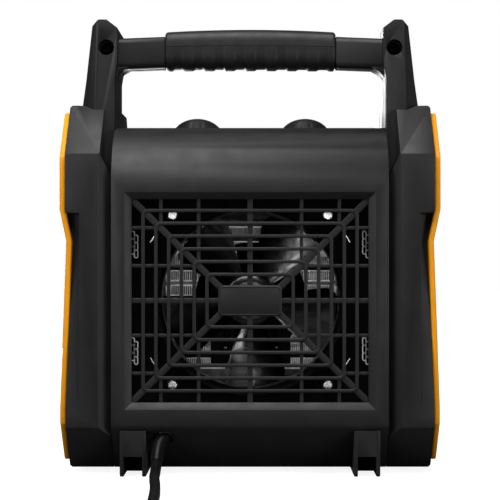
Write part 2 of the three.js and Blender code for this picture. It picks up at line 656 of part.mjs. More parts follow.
function handleFrame() {
  const posts = SIDES.map(([, side]) => {
    const at = (distance, z) => [outward(side)(distance), z];
    return prism('y', rounded([
      at(FIT, postBottom), at(POST_WIDTH - FIT, postBottom), at(POST_WIDTH, shoulderTop),
      at(POST_NECK, shoulderTop + POST_FLARE), at(POST_CROWN, handleTop - 4.3), [...at(11.5, handleTop), 2],
      [...at(6, handleTop), 2], at(-1.5, handleTop - 4.3), at(-1.5, barLow + 4),
      at(FIT, barLow - BAR_FILLET + 1), at(FIT, shoulderTop),
    ]), postFront, postRear);
  });
  const bar = prism('x', shifted(roundedRectangle(BAR_DEPTH / 2, BAR_HEIGHT / 2, BAR_RADIUS), barMiddle,
    barLow + BAR_HEIGHT / 2), -sideX + 1, sideX - 1);
  const thinned = box(-GRIP_HALF_LENGTH - FIT, GRIP_HALF_LENGTH + FIT, -FAR, FAR, 0, FAR)
    .subtract(waistOf(0));
  const fillets = SIDES.map(([, side]) => prism('y', [
    [side * (sideX - BAR_FILLET), barLow + 1], [side * (sideX + 1), barLow + 1],
    [side * (sideX + 1), barLow - BAR_FILLET], [side * (sideX - 1.5), barLow - BAR_FILLET + 5],
    [side * (sideX - 4), barLow - 1.5],
  ], fromRear(BAR_START + BAR_DEPTH), fromRear(BAR_START)));
  return join([...posts, bar.subtract(thinned), ...fillets]);
}

const screwTunnels = join(SIDES.map(([, side]) => (
  rodY(side * handleScrewX, handleScrewZ, HANDLE_SCREW_SHANK + FIT,
    postFront + HANDLE_SCREW_END - FIT, postRear + 1, 10)
    .add(rodY(side * handleScrewX, handleScrewZ, HANDLE_SCREW_HEAD + 1.3,
      postRear - HANDLE_SCREW_SUNK - HEAD_HEIGHT - FIT, postRear + 1, 16))
)));
const handle = handleFrame().subtract(screwTunnels);
const handleHalf = (end) => handle.intersect(box(-FAR, FAR, barMiddle + (end * FIT) / 2, end * FAR, 0, FAR));
addPiece('handle_rear_half', handleHalf(1), blackPlastic);
addPiece('handle_front_half', handleHalf(-1), blackPlastic);

for (const [label, side] of SIDES) {
  const x = side * handleScrewX;
  const headFront = postRear - HANDLE_SCREW_SUNK - HEAD_HEIGHT;
  const head = rodY(x, handleScrewZ, HANDLE_SCREW_HEAD, headFront, headFront + HEAD_HEIGHT, 14);
  const shank = rodY(x, handleScrewZ, HANDLE_SCREW_SHANK,
    postFront + HANDLE_SCREW_END, headFront + 0.1, 10);
  addPiece(`handle_screw_${label}`, head.add(shank), steel);
}

// Two grip shells close around the waist of the bar; raised bands run across them.
const gripSeam = barHigh - GRIP_SEAM;
function gripShell(low, high) {
  const middle = fromRear(GRIP_START + GRIP_DEPTH / 2);
  const gripLow = barLow - GRIP_UNDER;
  const gripHigh = barHigh + GRIP_OVER;
  const section = (grow, top) => shifted(roundedRectangle(GRIP_DEPTH / 2 - GRIP_RAISE + grow,
    (top - gripLow) / 2 - GRIP_RAISE + grow, GRIP_RADIUS, 2), middle, (top + gripLow) / 2);
  const bands = Math.floor(GRIP_HALF_LENGTH / GRIP_BAND);
  const pieces = [prism('x', section(0, gripHigh), -GRIP_HALF_LENGTH, GRIP_HALF_LENGTH)];
  for (let k = 0; k < bands; k += 1) {
    const x = (k - (bands - 1) / 2) * 2 * GRIP_BAND;
    const arch = GRIP_CROWN * (1 - (x / GRIP_HALF_LENGTH) ** 2);
    pieces.push(prism('x', section(GRIP_RAISE, gripHigh + arch), x - GRIP_BAND / 2, x + GRIP_BAND / 2));
  }
  return join(pieces).subtract(waistOf(FIT)).intersect(box(-FAR, FAR, -FAR, FAR, low, high));
}
addPiece('grip_upper', gripShell(gripSeam + FIT / 2, FAR), gripRubber);
addPiece('grip_lower', gripShell(0, gripSeam - FIT / 2), gripRubber);

// ---------------------------------------------------------------- fan shroud and its screws
const shroudRear = fromRear(SHROUD_START);
const shroudFront = shroudRear - SHROUD_PLATE;
const standoffReach = (ringOuter + STANDOFF_OUT) / Math.hypot(STANDOFF_ACROSS, STANDOFF_UP);
const standoffSpots = CORNERS.map(([x, z]) => [
  x * STANDOFF_ACROSS * standoffReach, fanZ + z * STANDOFF_UP * standoffReach,
]);
const screwBores = (y0, y1) => join(standoffSpots.map(([x, z]) => rodY(x, z, SCREW_SHANK + FIT, y0, y1, 8)));

function fanShroud() {
  const plate = prism('x', inset(drumOutline(), WALL + FIT), -drumHalf + WALL + FIT, drumHalf - WALL - FIT)
    .intersect(box(-FAR, FAR, shroudFront, shroudRear, 0, FAR));
  const ring = rodY(0, fanZ, ringOuter, fromRear(SHROUD_RING_END), fromRear(SHROUD_RING_START), 40);
  const throat = rodY(0, fanZ, ringInner, fromRear(SHROUD_RING_END + 1), fromRear(SHROUD_RING_START - 1), 40);
  const standoffs = standoffSpots.map(([x, z]) => (
    rodY(x, z, STANDOFF_RADIUS, fromRear(HEATER_START) + FIT, shroudRear, 10)));
  const leadNotch = box(glandX - LEAD_NOTCH_HALF, glandX + LEAD_NOTCH_HALF, shroudFront - 1, shroudRear + 1,
    0, BASE_HEIGHT + LEAD_NOTCH_TOP);
  return join([plate, ring, ...standoffs])
    .subtract(join([throat, leadNotch, screwBores(fromRear(HEATER_START + 1), shroudRear + 1)]));
}
addPiece('fan_shroud', fanShroud(), blackPlastic);

standoffSpots.forEach(([x, z], i) => {
  const head = rodY(x, z, SCREW_HEAD, shroudRear + FIT, shroudRear + FIT + HEAD_HEIGHT - 0.5, 12);
  const shank = rodY(x, z, SCREW_SHANK, fromRear(HEATER_START + 5), shroudRear + 1, 8);
  addPiece(`shroud_screw_${i + 1}`, head.add(shank), steel);
});

// ---------------------------------------------------------------- fan and motor
// Fan frame: origin on the motor axis at the middle of the blades, +Y to the rear.
const fanGroup = new THREE.Group();
fanGroup.position.set(0, fromRear(FAN_DEPTH), fanZ);
heater.add(fanGroup);
const inFan = (depth) => FAN_DEPTH - depth;
const shaft = (radius, y0, y1, sides = 16) => rod([0, y0, 0], [0, y1, 0], radius, sides);

function fanBlade() {
  const arc = (radius, half) => Array.from({ length: 6 }, (_, k) => {
    const angle = half * ((2 * k) / 5 - 1);
    return new THREE.Vector2(radius * Math.sin(angle), radius * Math.cos(angle));
  });
  const tip = arc(FAN_RADIUS, BLADE_TIP_ANGLE);
  const root = arc(HUB_RADIUS - HUB_SHELL - 0.5, BLADE_ROOT_ANGLE).reverse();
  const geometry = new THREE.ExtrudeGeometry(new THREE.Shape([...tip, ...root]), {
    depth: BLADE_THICKNESS, bevelEnabled: false,
  });
  geometry.translate(0, 0, -BLADE_THICKNESS / 2);
  geometry.rotateX(Math.PI / 2);
  geometry.rotateZ(THREE.MathUtils.degToRad(BLADE_PITCH));
  return solidOf(geometry);
}

function fanImpeller() {
  const blade = fanBlade();
  const pieces = [
    rod([0, HUB_REAR, 0], [0, HUB_REAR + HUB_NOSE, 0], HUB_RADIUS, 24, HUB_RADIUS - HUB_NOSE),
    shaft(HUB_RADIUS, -HUB_FRONT, HUB_REAR, 24),
  ];
  for (let k = 0; k < BLADES; k += 1) {
    pieces.push(blade.rotate([0, ((k + 0.5) * 360) / BLADES, 0]));
  }
  const hollow = shaft(HUB_RADIUS - HUB_SHELL, -HUB_FRONT - 1, HUB_REAR - 0.5, 24)
    .subtract(shaft(HUB_CORE, -HUB_FRONT + 1, HUB_REAR));
  return join(pieces).subtract(hollow)
    .subtract(shaft(SHAFT_RADIUS + FIT, -HUB_FRONT - 2, HUB_REAR - HUB_NOSE));
}
addPiece('fan_impeller', fanImpeller(), blackPlastic, fanGroup);

// Motor: a shaded pole stator with its coil on the lower leg.
addPiece('motor_shaft', shaft(SHAFT_RADIUS, HUB_REAR - HUB_NOSE - 0.4, inFan(BRACKET_END) - HEAD_HEIGHT),
  steel, fanGroup);
const rotorEnds = [inFan(STATOR_END) + 0.5, inFan(STATOR_START) - 0.5];
addPiece('motor_rotor', shaft(ROTOR_RADIUS, ...rotorEnds, 24)
  .subtract(shaft(SHAFT_RADIUS + FIT, rotorEnds[0] - 1, rotorEnds[1] + 1)), galvanised, fanGroup);

const throughMotor = (radius, sides) => shaft(radius, inFan(FAR), 0, sides);
const motorScrewHoles = join([-MOTOR_SCREW_X, MOTOR_SCREW_X].map((x) => (
  rod([x, inFan(FAR), 0], [x, 0, 0], MOTOR_SCREW_HOLE, 8))));
const statorY = [inFan(STATOR_END), inFan(STATOR_START)];
const stator = box(-STATOR_HALF, STATOR_HALF, ...statorY, -STATOR_LOW, STATOR_TOP)
  .subtract(throughMotor(ROTOR_RADIUS + ROTOR_GAP, 24))
  .subtract(box(-WINDOW_HALF, WINDOW_HALF, -FAR, FAR, -LEG_TOP, -WINDOW_TOP))
  .subtract(motorScrewHoles);
addPiece('motor_stator', stator, blackSteel, fanGroup);
const coilHalf = WINDOW_HALF - 2;
const coil = box(-coilHalf, coilHalf, statorY[0] - COIL_WRAP, statorY[1] + COIL_WRAP,
  -STATOR_LOW - HEAD_HEIGHT, -WINDOW_TOP - 1)
  .subtract(box(-FAR, FAR, statorY[0] - FIT, statorY[1] + FIT, -STATOR_LOW - FIT, -LEG_TOP + FIT));
addPiece('motor_coil', coil, copper, fanGroup);

// A bearing bracket bridges the rotor between two legs that stand on a face of the stator.
function bearingBracket(plateY, face) {
  const half = BRACKET_THICKNESS / 2;
  const arm = box(-STATOR_HALF, STATOR_HALF, plateY - half, plateY + half, -9, 9);
  const legs = [-MOTOR_SCREW_X, MOTOR_SCREW_X].map((x) => box(x - 5, x + 5, plateY, face, -6, 6));
  return join([arm, ...legs]).subtract(motorScrewHoles).subtract(throughMotor(BUSH_RADIUS + FIT));
}
const rearBearing = inFan(BRACKET_START + BRACKET_THICKNESS / 2);
const frontBearing = inFan(BRACKET_END - BRACKET_THICKNESS / 2);
addPiece('bearing_bracket_rear', bearingBracket(rearBearing, statorY[1] + FIT), blackSteel, fanGroup);
addPiece('bearing_bracket_front', bearingBracket(frontBearing, statorY[0] - FIT), blackSteel, fanGroup);
const bush = (y) => shaft(BUSH_RADIUS, y - BUSH_LENGTH / 2, y + BUSH_LENGTH / 2)
  .subtract(shaft(SHAFT_RADIUS + FIT, y - BUSH_LENGTH, y + BUSH_LENGTH));
addPiece('bearing_bush_rear', bush(rearBearing), bronze, fanGroup);
addPiece('bearing_bush_front', bush(frontBearing), bronze, fanGroup);

// A sheet strap carries the motor between the walls of the heater duct; its arms pass below the axis.
const strapY = inFan(BRACKET_END) - FIT;
const strapHalf = heaterHalf - DUCT_SHEET - FIT;
const strapFeet = [-1, 1].map((side) => box(side * strapHalf, side * (strapHalf - STRAP),
  strapY - STRAP, strapY + STRAP_FOOT, -2 * STRAP_HALF_HEIGHT, 0));
const strap = box(-strapHalf, strapHalf, strapY - STRAP, strapY, -2 * STRAP_HALF_HEIGHT, 0)
  .add(box(-STRAP_MIDDLE, STRAP_MIDDLE, strapY - STRAP, strapY, -STRAP_HALF_HEIGHT, STRAP_HALF_HEIGHT))
  .add(join(strapFeet))
  .subtract(throughMotor(BUSH_RADIUS + 1))
  .subtract(motorScrewHoles);
addPiece('motor_strap', strap, blackSteel, fanGroup);

// A round shield on the strap keeps the heat of the modules off the motor.
const shieldY = strapY - STRAP - FIT;
const shield = shaft(SHIELD_RADIUS, shieldY - SHIELD_SHEET, shieldY, 40)
  .subtract(throughMotor(SHAFT_RADIUS + 1))
  .subtract(motorScrewHoles);
addPiece('heat_shield', shield, blackSteel, fanGroup);

// ---------------------------------------------------------------- heater block
const ductLow = fanZ - heaterHalfHeight;
const ductHigh = fanZ + heaterHalfHeight;
const moduleHalf = heaterHalf - DUCT_SHEET - RAIL_WIDTH;
const moduleY = [fromRear(MODULE_START + MODULE_DEPTH), fromRear(MODULE_START)];
const modulePlaces = Array.from({ length: MODULES }, (_, k) => fanZ + (k - (MODULES - 1) / 2) * MODULE_PITCH);
const blockHalf = ((MODULES - 1) / 2) * MODULE_PITCH + BAR_HALF + FIN_HEIGHT;
function heaterDuct() {
  const y0 = fromRear(HEATER_END);
  const y1 = fromRear(HEATER_START);
  const outer = box(-heaterHalf, heaterHalf, y0, y1, ductLow, ductHigh);
  const inner = box(-heaterHalf + DUCT_SHEET, heaterHalf - DUCT_SHEET, y0 - 1, y1 - STRAP,
    ductLow + DUCT_SHEET, ductHigh - DUCT_SHEET);
  const flanges = SIDES.map(([, side]) => box(side * heaterHalf, side * (drumHalf - WALL - FIT),
    y0, y0 + DUCT_FLANGE, fanZ - DUCT_FLANGE_HALF, fanZ + DUCT_FLANGE_HALF));
  // Baffles close the space above and below the modules, so that all the air passes through the fins.
  const baffleX = moduleHalf - RAIL_GRIP - FIT;
  const baffles = [-1, 1].map((side) => box(-baffleX, baffleX, moduleY[1] - DUCT_SHEET, moduleY[1],
    fanZ + side * (blockHalf + FIT), fanZ + side * (heaterHalfHeight - DUCT_SHEET / 2)));
  const inlet = rodY(0, fanZ, ringInner, y1 - 2 * STRAP, y1 + 1, 40);
  return join([outer.subtract(inner), ...flanges, ...baffles])
    .subtract(inlet)
    .subtract(screwBores(y0, y1 + 1));
}
addPiece('heater_duct', heaterDuct(), galvanised);
for (const [label, side] of SIDES) {
  const rail = box(side * (moduleHalf - RAIL_GRIP), side * (heaterHalf - DUCT_SHEET - FIT),
    moduleY[0] - 2, moduleY[1] + 2, ductLow + DUCT_SHEET + FIT, ductHigh - DUCT_SHEET - FIT);
  const sockets = modulePlaces.map((z) => box(-moduleHalf - FIT, moduleHalf + FIT,
    moduleY[0] - FIT, moduleY[1] + FIT, z - BAR_HALF - FIN_HEIGHT - FIT, z + BAR_HALF + FIN_HEIGHT + FIT));
  addPiece(`heater_rail_${label}`, rail.subtract(join(sockets)), whitePlastic);
}
modulePlaces.forEach((z, k) => {
  const bar = box(-moduleHalf, moduleHalf, ...moduleY, z - BAR_HALF, z + BAR_HALF);
  const fins = box(-moduleHalf + FIN_END, moduleHalf - FIN_END, moduleY[0] + 1, moduleY[1] - 1,
    z - BAR_HALF - FIN_HEIGHT, z + BAR_HALF + FIN_HEIGHT);
  addPiece(`heater_module_${k + 1}`, bar.add(fins), aluminium);
});

// Safety cut-outs sit on the duct's upper wall, terminals on the casing floor.
const cutoutY = fromRear(CUTOUT_DEPTH);
const cutoutZ = ductHigh + FIT;
const cutoutTabs = [-3, 3].map((x) => box(CUTOUT_X + x - 1, CUTOUT_X + x + 1, cutoutY - 2, cutoutY + 2,
  cutoutZ + 6, cutoutZ + 14));
const cutout = rod([CUTOUT_X, cutoutY, cutoutZ], [CUTOUT_X, cutoutY, cutoutZ + 7], 8)
  .add(box(CUTOUT_X - 12, CUTOUT_X + 12, cutoutY - 4, cutoutY + 4, cutoutZ, cutoutZ + STRAP))
  .add(join(cutoutTabs));
addPiece('thermal_cutout', cutout, whitePlastic);
addPiece('thermal_fuse', rod([FUSE_X - FUSE_HALF, cutoutY, cutoutZ + FUSE_RADIUS],
  [FUSE_X + FUSE_HALF, cutoutY, cutoutZ + FUSE_RADIUS], FUSE_RADIUS, 12), steel);

const blockRear = fromRear(TERMINAL_DEPTH);
const blockMiddle = blockRear - TERMINAL_LENGTH / 2;
const terminals = [-1, 0, 1].map((k) => rod([glandX + k * TERMINAL_PITCH, blockMiddle, floorInside + 6],
  [glandX + k * TERMINAL_PITCH, blockMiddle, floorInside + TERMINAL_HEIGHT + 1], 3, 10));
const terminalBlock = box(glandX - 1.6 * TERMINAL_PITCH, glandX + 1.6 * TERMINAL_PITCH,
  blockRear - TERMINAL_LENGTH, blockRear, floorInside, floorInside + TERMINAL_HEIGHT)
  .subtract(join(terminals));
addPiece('terminal_block', terminalBlock, whitePlastic);

const leadPath = new THREE.CatmullRomCurve3([
  alongGland(-GLAND_BACK - 0.6), alongGland(-14), [glandX, fromRear(29), floorInside + 26],
  [glandX, fromRear(42), floorInside + 12], [glandX, fromRear(60), floorInside + 5],
  [glandX, blockRear + FIT, floorInside + 5],
].map((spot) => new THREE.Vector3(...spot)));
const circle = (radius, sides) => new THREE.Shape(Array.from({ length: sides }, (_, k) => (
  new THREE.Vector2(radius, 0).rotateAround(new THREE.Vector2(), (2 * Math.PI * k) / sides)
)));
const tube = (path, radius, steps) => solidOf(new THREE.ExtrudeGeometry(circle(radius, 8), {
  steps, extrudePath: path, bevelEnabled: false,
}));
addPiece('inner_lead', tube(leadPath, 3, 14), cordRubber);

// ---------------------------------------------------------------- tilt switch
// A pendulum weight hangs on a pin in a bracket on the casing floor and breaks the circuit when it swings.
const tiltGroup = new THREE.Group();
tiltGroup.position.set(TILT_X, fromFront(TILT_DEPTH), floorInside + TILT_PIVOT);
heater.add(tiltGroup);
const cheeks = [-1, 1].map((side) => box(-6, 6, side * 9, side * 11, 1.5 - TILT_PIVOT, 5));
const tiltBracket = box(-14, 14, -11, 11, -TILT_PIVOT, 2 - TILT_PIVOT)
  .add(join(cheeks))
  .add(shaft(TILT_PIN, -12, 12, 12));
addPiece('tilt_switch_bracket', tiltBracket, galvanised, tiltGroup);
const tiltWeight = shaft(4, -4, 4, 12)
  .add(box(-1.5, 1.5, -3, 3, 4 - TILT_DROP, -2))
  .add(rod([0, -6, -TILT_DROP], [0, 6, -TILT_DROP], TILT_BOB))
  .subtract(shaft(TILT_PIN + FIT, -8, 8, 12));
addPiece('tilt_switch_weight', tiltWeight, steel, tiltGroup);

// ---------------------------------------------------------------- controls
const knobY = -KNOB_DOWN;
const post = (x, radius, z0, z1, sides = 16) => rod([x, knobY, z0], [x, knobY, z1], radius, sides);
const knobPlaces = [['thermostat', KNOB_SPACING / 2], ['mode', -KNOB_SPACING / 2]];
const panel = box(-panelHalf, panelHalf, -PANEL_MARGIN - PANEL_LENGTH, -PANEL_MARGIN, -WALL, 0)
  .subtract(join(knobPlaces.map(([, x]) => post(x, KNOB_SHAFT_RADIUS + 1, -FAR, FAR))))
  .subtract(post(0, LENS_RADIUS + FIT, -FAR, FAR));
addPiece('control_panel', panel, blackPlastic, controls);
const lens = post(0, LENS_RADIUS, -WALL - 1, 0.8).add(post(0, LENS_RADIUS + 1.5, -WALL - 3, -WALL - FIT));
addPiece('pilot_lens', lens, lensRed, controls);

function knob(x) {
  const outline = Array.from({ length: KNOB_RIBS * 2 }, (_, k) => {
    const angle = (Math.PI * k) / KNOB_RIBS;
    const reach = KNOB_RADIUS - (k % 2);
    return [x + reach * Math.cos(angle), knobY + reach * Math.sin(angle)];
  });
  const rim = KNOB_HEIGHT - KNOB_RIM;
  const pointer = box(x - 1, x + 1, knobY + 4, knobY + KNOB_RADIUS - 6, KNOB_HEIGHT - 0.5, KNOB_HEIGHT + 0.5);
  return prism('z', outline, 1, rim)
    .add(rod([x, knobY, rim], [x, knobY, KNOB_HEIGHT], KNOB_RADIUS - 1, 24, KNOB_RADIUS - KNOB_SKIN))
    .add(pointer)
    .subtract(post(x, KNOB_RADIUS - KNOB_SKIN, 0, rim - KNOB_RIM, 24)
      .subtract(post(x, 2 * KNOB_SHAFT_RADIUS, 0, KNOB_HEIGHT)))
    .subtract(post(x, KNOB_SHAFT_RADIUS + FIT, 0, rim - KNOB_RIM - 2));
}
for (const [label, x] of knobPlaces) {
  addPiece(`${label}_knob`, knob(x), blackPlastic, controls);
  const stem = post(x, KNOB_SHAFT_RADIUS, 2 - SWITCH_DEPTH, KNOB_HEIGHT - 2 * KNOB_RIM - 2.4);
  addPiece(`${label}_shaft`, stem, steel, controls);
}
const stemHole = (x) => post(x, KNOB_SHAFT_RADIUS + FIT, 1 - SWITCH_DEPTH, 1);
const [thermostatX, modeX] = knobPlaces.map(([, x]) => x);
const thermostat = box(thermostatX - SWITCH_RADIUS, thermostatX + SWITCH_RADIUS, knobY - 14, knobY + 12,
  -SWITCH_DEPTH, -WALL - FIT).subtract(stemHole(thermostatX));
addPiece('thermostat_body', thermostat, whitePlastic, controls);
const switchTabs = [-8, 0, 8].map((x) => box(modeX + x - 2, modeX + x + 2, knobY - 10, knobY - 9.2,
  -SWITCH_DEPTH - 8, 1 - SWITCH_DEPTH));
const modeSwitch = post(modeX, SWITCH_RADIUS, -SWITCH_DEPTH, -WALL - FIT, 24)
  .add(join(switchTabs))
  .subtract(stemHole(modeX));
addPiece('mode_switch_body', modeSwitch, whitePlastic, controls);

// ---------------------------------------------------------------- feet
// Two fins with a plate between them follow the undercut; a full width sole closes the inner end.
function foot(side, end) {
  const x1 = drumHalf - FOOT_INSET;
  const x0 = x1 - FOOT_WIDTH;
  const y = (inward) => end * (rearY - inward);
  const seat = undercutTop - FIT * Math.SQRT2 - FOOT_TOP_MARGIN;
  const sole = BASE_HEIGHT - FIT;
  const along = (outline, low, high) => prism('x', outline, side * low, side * high);
  const fin = [
    [y(0), seat], [y(0), 2], [y(2), 0], [y(FOOT_LENGTH), 0], [y(FOOT_LENGTH), sole],
    [y(UNDERCUT + 0.2), sole], [y(FOOT_TOP_MARGIN), seat],
  ];
  const plate = [
    [y(0.2), seat - 0.2], [y(FOOT_TOP_MARGIN), seat], [y(UNDERCUT), sole], [y(UNDERCUT), sole - 2.5],
    [y(3), seat - 2.5], [y(3), FOOT_PLATE_LOW], [y(0.2), FOOT_PLATE_LOW],
  ];
  const inside = [x0 + 0.5, x1 - 0.5];
  const pad = box(side * x0, side * x1, y(FOOT_LENGTH - FOOT_PAD), y(FOOT_LENGTH), 0, sole);
  return join([
    along(fin, x0, x0 + FOOT_FIN), along(fin, x1 - FOOT_FIN, x1), along(plate, ...inside), pad,
  ]);
}
for (const [label, side] of SIDES) {
  addPiece(`rear_foot_${label}`, foot(side, 1), gripRubber);
  addPiece(`front_foot_${label}`, foot(side, -1), gripRubber);
}

// ---------------------------------------------------------------- strain relief, cord, coil and plug
// The strain relief clips into the undercut, then tapers along the start of the cord.
const reliefPath = new THREE.CatmullRomCurve3([
  alongGland(2),
  [glandX + 0.7, fromRear(2.9), undercutTop - 11.2],
  [glandX + 2.1, fromRear(-3.2), undercutTop - 16.9],
  [glandX + 3.6, fromRear(-9.6), undercutTop - 22.1],
].map((spot) => new THREE.Vector3(...spot)));
function strainRelief() {
  const steps = 4;
  const taper = RELIEF_TAPER / steps;
  const spots = reliefPath.getSpacedPoints(steps);
  const sleeve = spots.slice(1).map((spot, k) => {
    const along = reliefPath.getTangentAt((k + 0.5) / steps);
    const back = spots[k].clone().addScaledVector(along, k ? -0.6 : 0);
    const radius = RELIEF_RADIUS - taper * k;
    return rod(back.toArray(), spot.toArray(), radius, 10, radius - taper);
  });
  return join([
    rod(alongGland(-GLAND_BACK), alongGland(3), GLAND_RADIUS, 14),
    rod(alongGland(FIT), alongGland(FIT + GLAND_FLANGE), GLAND_RADIUS + GLAND_FLANGE, 14),
    ...sleeve,
  ]);
}
addPiece('strain_relief', strainRelief(), cordRubber);

const cordSpots = CORD_ROUTE.map((spot) => new THREE.Vector3(...spot));
const cordPath = new THREE.CatmullRomCurve3(cordSpots, false, 'centripetal');
addPiece('mains_cord', tube(cordPath, CORD_DIAMETER / 2, 26), cordRubber);

const coilGeometry = new THREE.LatheGeometry([
  [COIL_INNER, COIL_EDGE], [COIL_INNER + COIL_EDGE, COIL_LIFT], [COIL_OUTER - COIL_EDGE, COIL_LIFT],
  [COIL_OUTER, COIL_EDGE], [COIL_OUTER, COIL_HEIGHT - COIL_EDGE], [COIL_OUTER - COIL_EDGE, COIL_HEIGHT],
  [COIL_INNER + COIL_EDGE, COIL_HEIGHT], [COIL_INNER, COIL_HEIGHT - COIL_EDGE], [COIL_INNER, COIL_EDGE],
].map(([r, z]) => new THREE.Vector2(r, z)), 28);
coilGeometry.rotateX(Math.PI / 2);
coilGeometry.translate(...COIL_CENTRE, 0);
addPiece('cord_coil', solidOf(coilGeometry), cordRubber);

function mainsPlug() {
  const neckEnd = PLUG_Y + PLUG_NECK;
  const bodyEnd = neckEnd + PLUG_BODY;
  const body = prism('y', shifted(roundedRectangle(...PLUG_HALF, 4), PLUG_X, PLUG_Z), neckEnd, bodyEnd);
  const neck = rod([PLUG_X, PLUG_Y, PLUG_Z], [PLUG_X, neckEnd + 1, PLUG_Z], 4.6, 12, 7.5);
  const blades = [-1, 1].map((side) => {
    const x = PLUG_X + (side * PRONG_SPACING) / 2;
    return box(x - 0.75, x + 0.75, bodyEnd - 1, bodyEnd + 16, PLUG_Z, PLUG_Z + 6.3);
  });
  const earthPin = rodY(PLUG_X, PLUG_Z - 8.8, 2.4, bodyEnd - 1, bodyEnd + 19, 12);
  return join([neck, body, ...blades, earthPin]);
}
addPiece('mains_plug', mainsPlug(), cordRubber);

export default heater;
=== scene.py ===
# A ceramic space heater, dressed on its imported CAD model. Metres, +Z up, rear grille towards +Y.
import math
from functools import partial
import bmesh
import bpy
from mathutils import Matrix, Vector


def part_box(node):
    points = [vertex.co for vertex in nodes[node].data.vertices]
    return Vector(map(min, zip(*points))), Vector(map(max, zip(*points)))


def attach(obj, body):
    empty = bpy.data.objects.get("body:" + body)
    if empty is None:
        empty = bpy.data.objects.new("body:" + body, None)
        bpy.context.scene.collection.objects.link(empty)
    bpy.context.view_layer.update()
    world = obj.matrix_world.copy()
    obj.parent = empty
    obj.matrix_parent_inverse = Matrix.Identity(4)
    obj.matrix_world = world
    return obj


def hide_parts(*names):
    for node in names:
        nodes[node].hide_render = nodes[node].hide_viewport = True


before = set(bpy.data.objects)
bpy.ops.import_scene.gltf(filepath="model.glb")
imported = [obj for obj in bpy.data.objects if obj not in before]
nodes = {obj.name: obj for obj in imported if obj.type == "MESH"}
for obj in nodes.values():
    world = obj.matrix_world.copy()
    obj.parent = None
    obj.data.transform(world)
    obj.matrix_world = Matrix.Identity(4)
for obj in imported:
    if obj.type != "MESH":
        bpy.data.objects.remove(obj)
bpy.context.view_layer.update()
scene = bpy.context.scene

# ---------------------------------------------------------------- camera
# A long lens looks level at the rear of the heater from 1.25 m, a little to its right and below its middle.
# The frame is shifted rather than the camera turned, so that upright edges stay upright.
EYE = Vector((-0.00667, 1.2525, 0.146))


def new_object(name, data):
    """A new object around its data, linked to the scene."""
    made = bpy.data.objects.new(name, data)
    scene.collection.objects.link(made)
    return made


camera_data = bpy.data.cameras.new("camera")
camera_data.lens = 124.2
camera_data.sensor_width = 36.0
camera_data.shift_x = -0.02
camera_data.shift_y = 0.016
camera_data.clip_start = 0.05
camera = new_object("camera", camera_data)
camera.location = EYE
camera.rotation_euler = (math.pi / 2, 0.0, math.pi)
scene.camera = camera

# ---------------------------------------------------------------- floor, sky and lamps
# A white studio: a pale floor that shows white to the eye and keeps a faint shadow, a white sky, large
# soft lamps above, at the sides and in front, and small dim ones low at the right and beside the camera.
SKY_LIGHT = 0.05
FLOOR_HALF, FLOOR_LEVEL = 6.0, -0.0004
BODY_AIM = (0.0, 0.05, 0.15)


def step(tree, kind, wires=(), **settings):
    """Adds a node with its own settings; each wire is a value, a socket, a node or a list of nodes."""
    made = tree.nodes.new(kind)
    for key, value in settings.items():
        setattr(made, key, value)
    for key, value in dict(wires).items():
        for one in value if isinstance(value, list) else [value]:
            if isinstance(one, bpy.types.Node):
                one = one.outputs[0]
            if isinstance(one, bpy.types.NodeSocket):
                tree.links.new(one, made.inputs[key])
            else:
                made.inputs[key].default_value = one
    return made


def node_material(name):
    """A new material and its node tree, emptied."""
    material = bpy.data.materials.new(name)
    material.use_nodes = True
    material.node_tree.nodes.clear()
    return material, material.node_tree


def floor_finish():
    """Dull grey to the lamps; to the eye pale, with a glow that rises away from the heater."""
    material, tree = node_material("studio_floor")
    grey = step(tree, "ShaderNodeBsdfDiffuse", {"Color": (0.1, 0.1, 0.1, 1.0)})
    pale = step(tree, "ShaderNodeBsdfDiffuse", {"Color": (0.6, 0.6, 0.6, 1.0)})
    place = step(tree, "ShaderNodeTexCoord").outputs["Object"]
    reach = step(tree, "ShaderNodeVectorMath", {0: place}, operation="LENGTH").outputs["Value"]
    glow = step(tree, "ShaderNodeMapRange", {"Value": reach, "From Min": 0.7, "From Max": 1.8,
                                             "To Min": 0.88, "To Max": 1.0})
    white = step(tree, "ShaderNodeEmission", {"Color": (1.0, 1.0, 1.0, 1.0), "Strength": glow})
    lit = step(tree, "ShaderNodeAddShader", {0: pale, 1: white})
    eye = step(tree, "ShaderNodeLightPath").outputs["Is Camera Ray"]
    mix = step(tree, "ShaderNodeMixShader", {"Fac": eye, 1: grey, 2: lit})
    step(tree, "ShaderNodeOutputMaterial", {"Surface": mix})
    return material


floor_mesh = bpy.data.meshes.new("studio_floor")
floor_mesh.from_pydata([(x * FLOOR_HALF, y * FLOOR_HALF, FLOOR_LEVEL)
                        for x, y in ((-1, -1), (1, -1), (1, 1), (-1, 1))], [], [(0, 1, 2, 3)])
floor_mesh.materials.append(floor_finish())
new_object("studio_floor", floor_mesh)

world = bpy.data.worlds.new("studio_sky")
world.use_nodes = True
scene.world = world
sky = world.node_tree
sky.nodes.clear()
ray = step(sky, "ShaderNodeLightPath").outputs
seen = step(sky, "ShaderNodeMath", {0: ray["Is Camera Ray"], 1: ray["Is Transmission Ray"]},
            operation="MAXIMUM")
level = step(sky, "ShaderNodeMath", {0: seen, 1: SKY_LIGHT}, operation="MAXIMUM")
back = step(sky, "ShaderNodeBackground", {"Color": (1.0, 1.0, 1.0, 1.0), "Strength": level})
step(sky, "ShaderNodeOutputWorld", {"Surface": back})

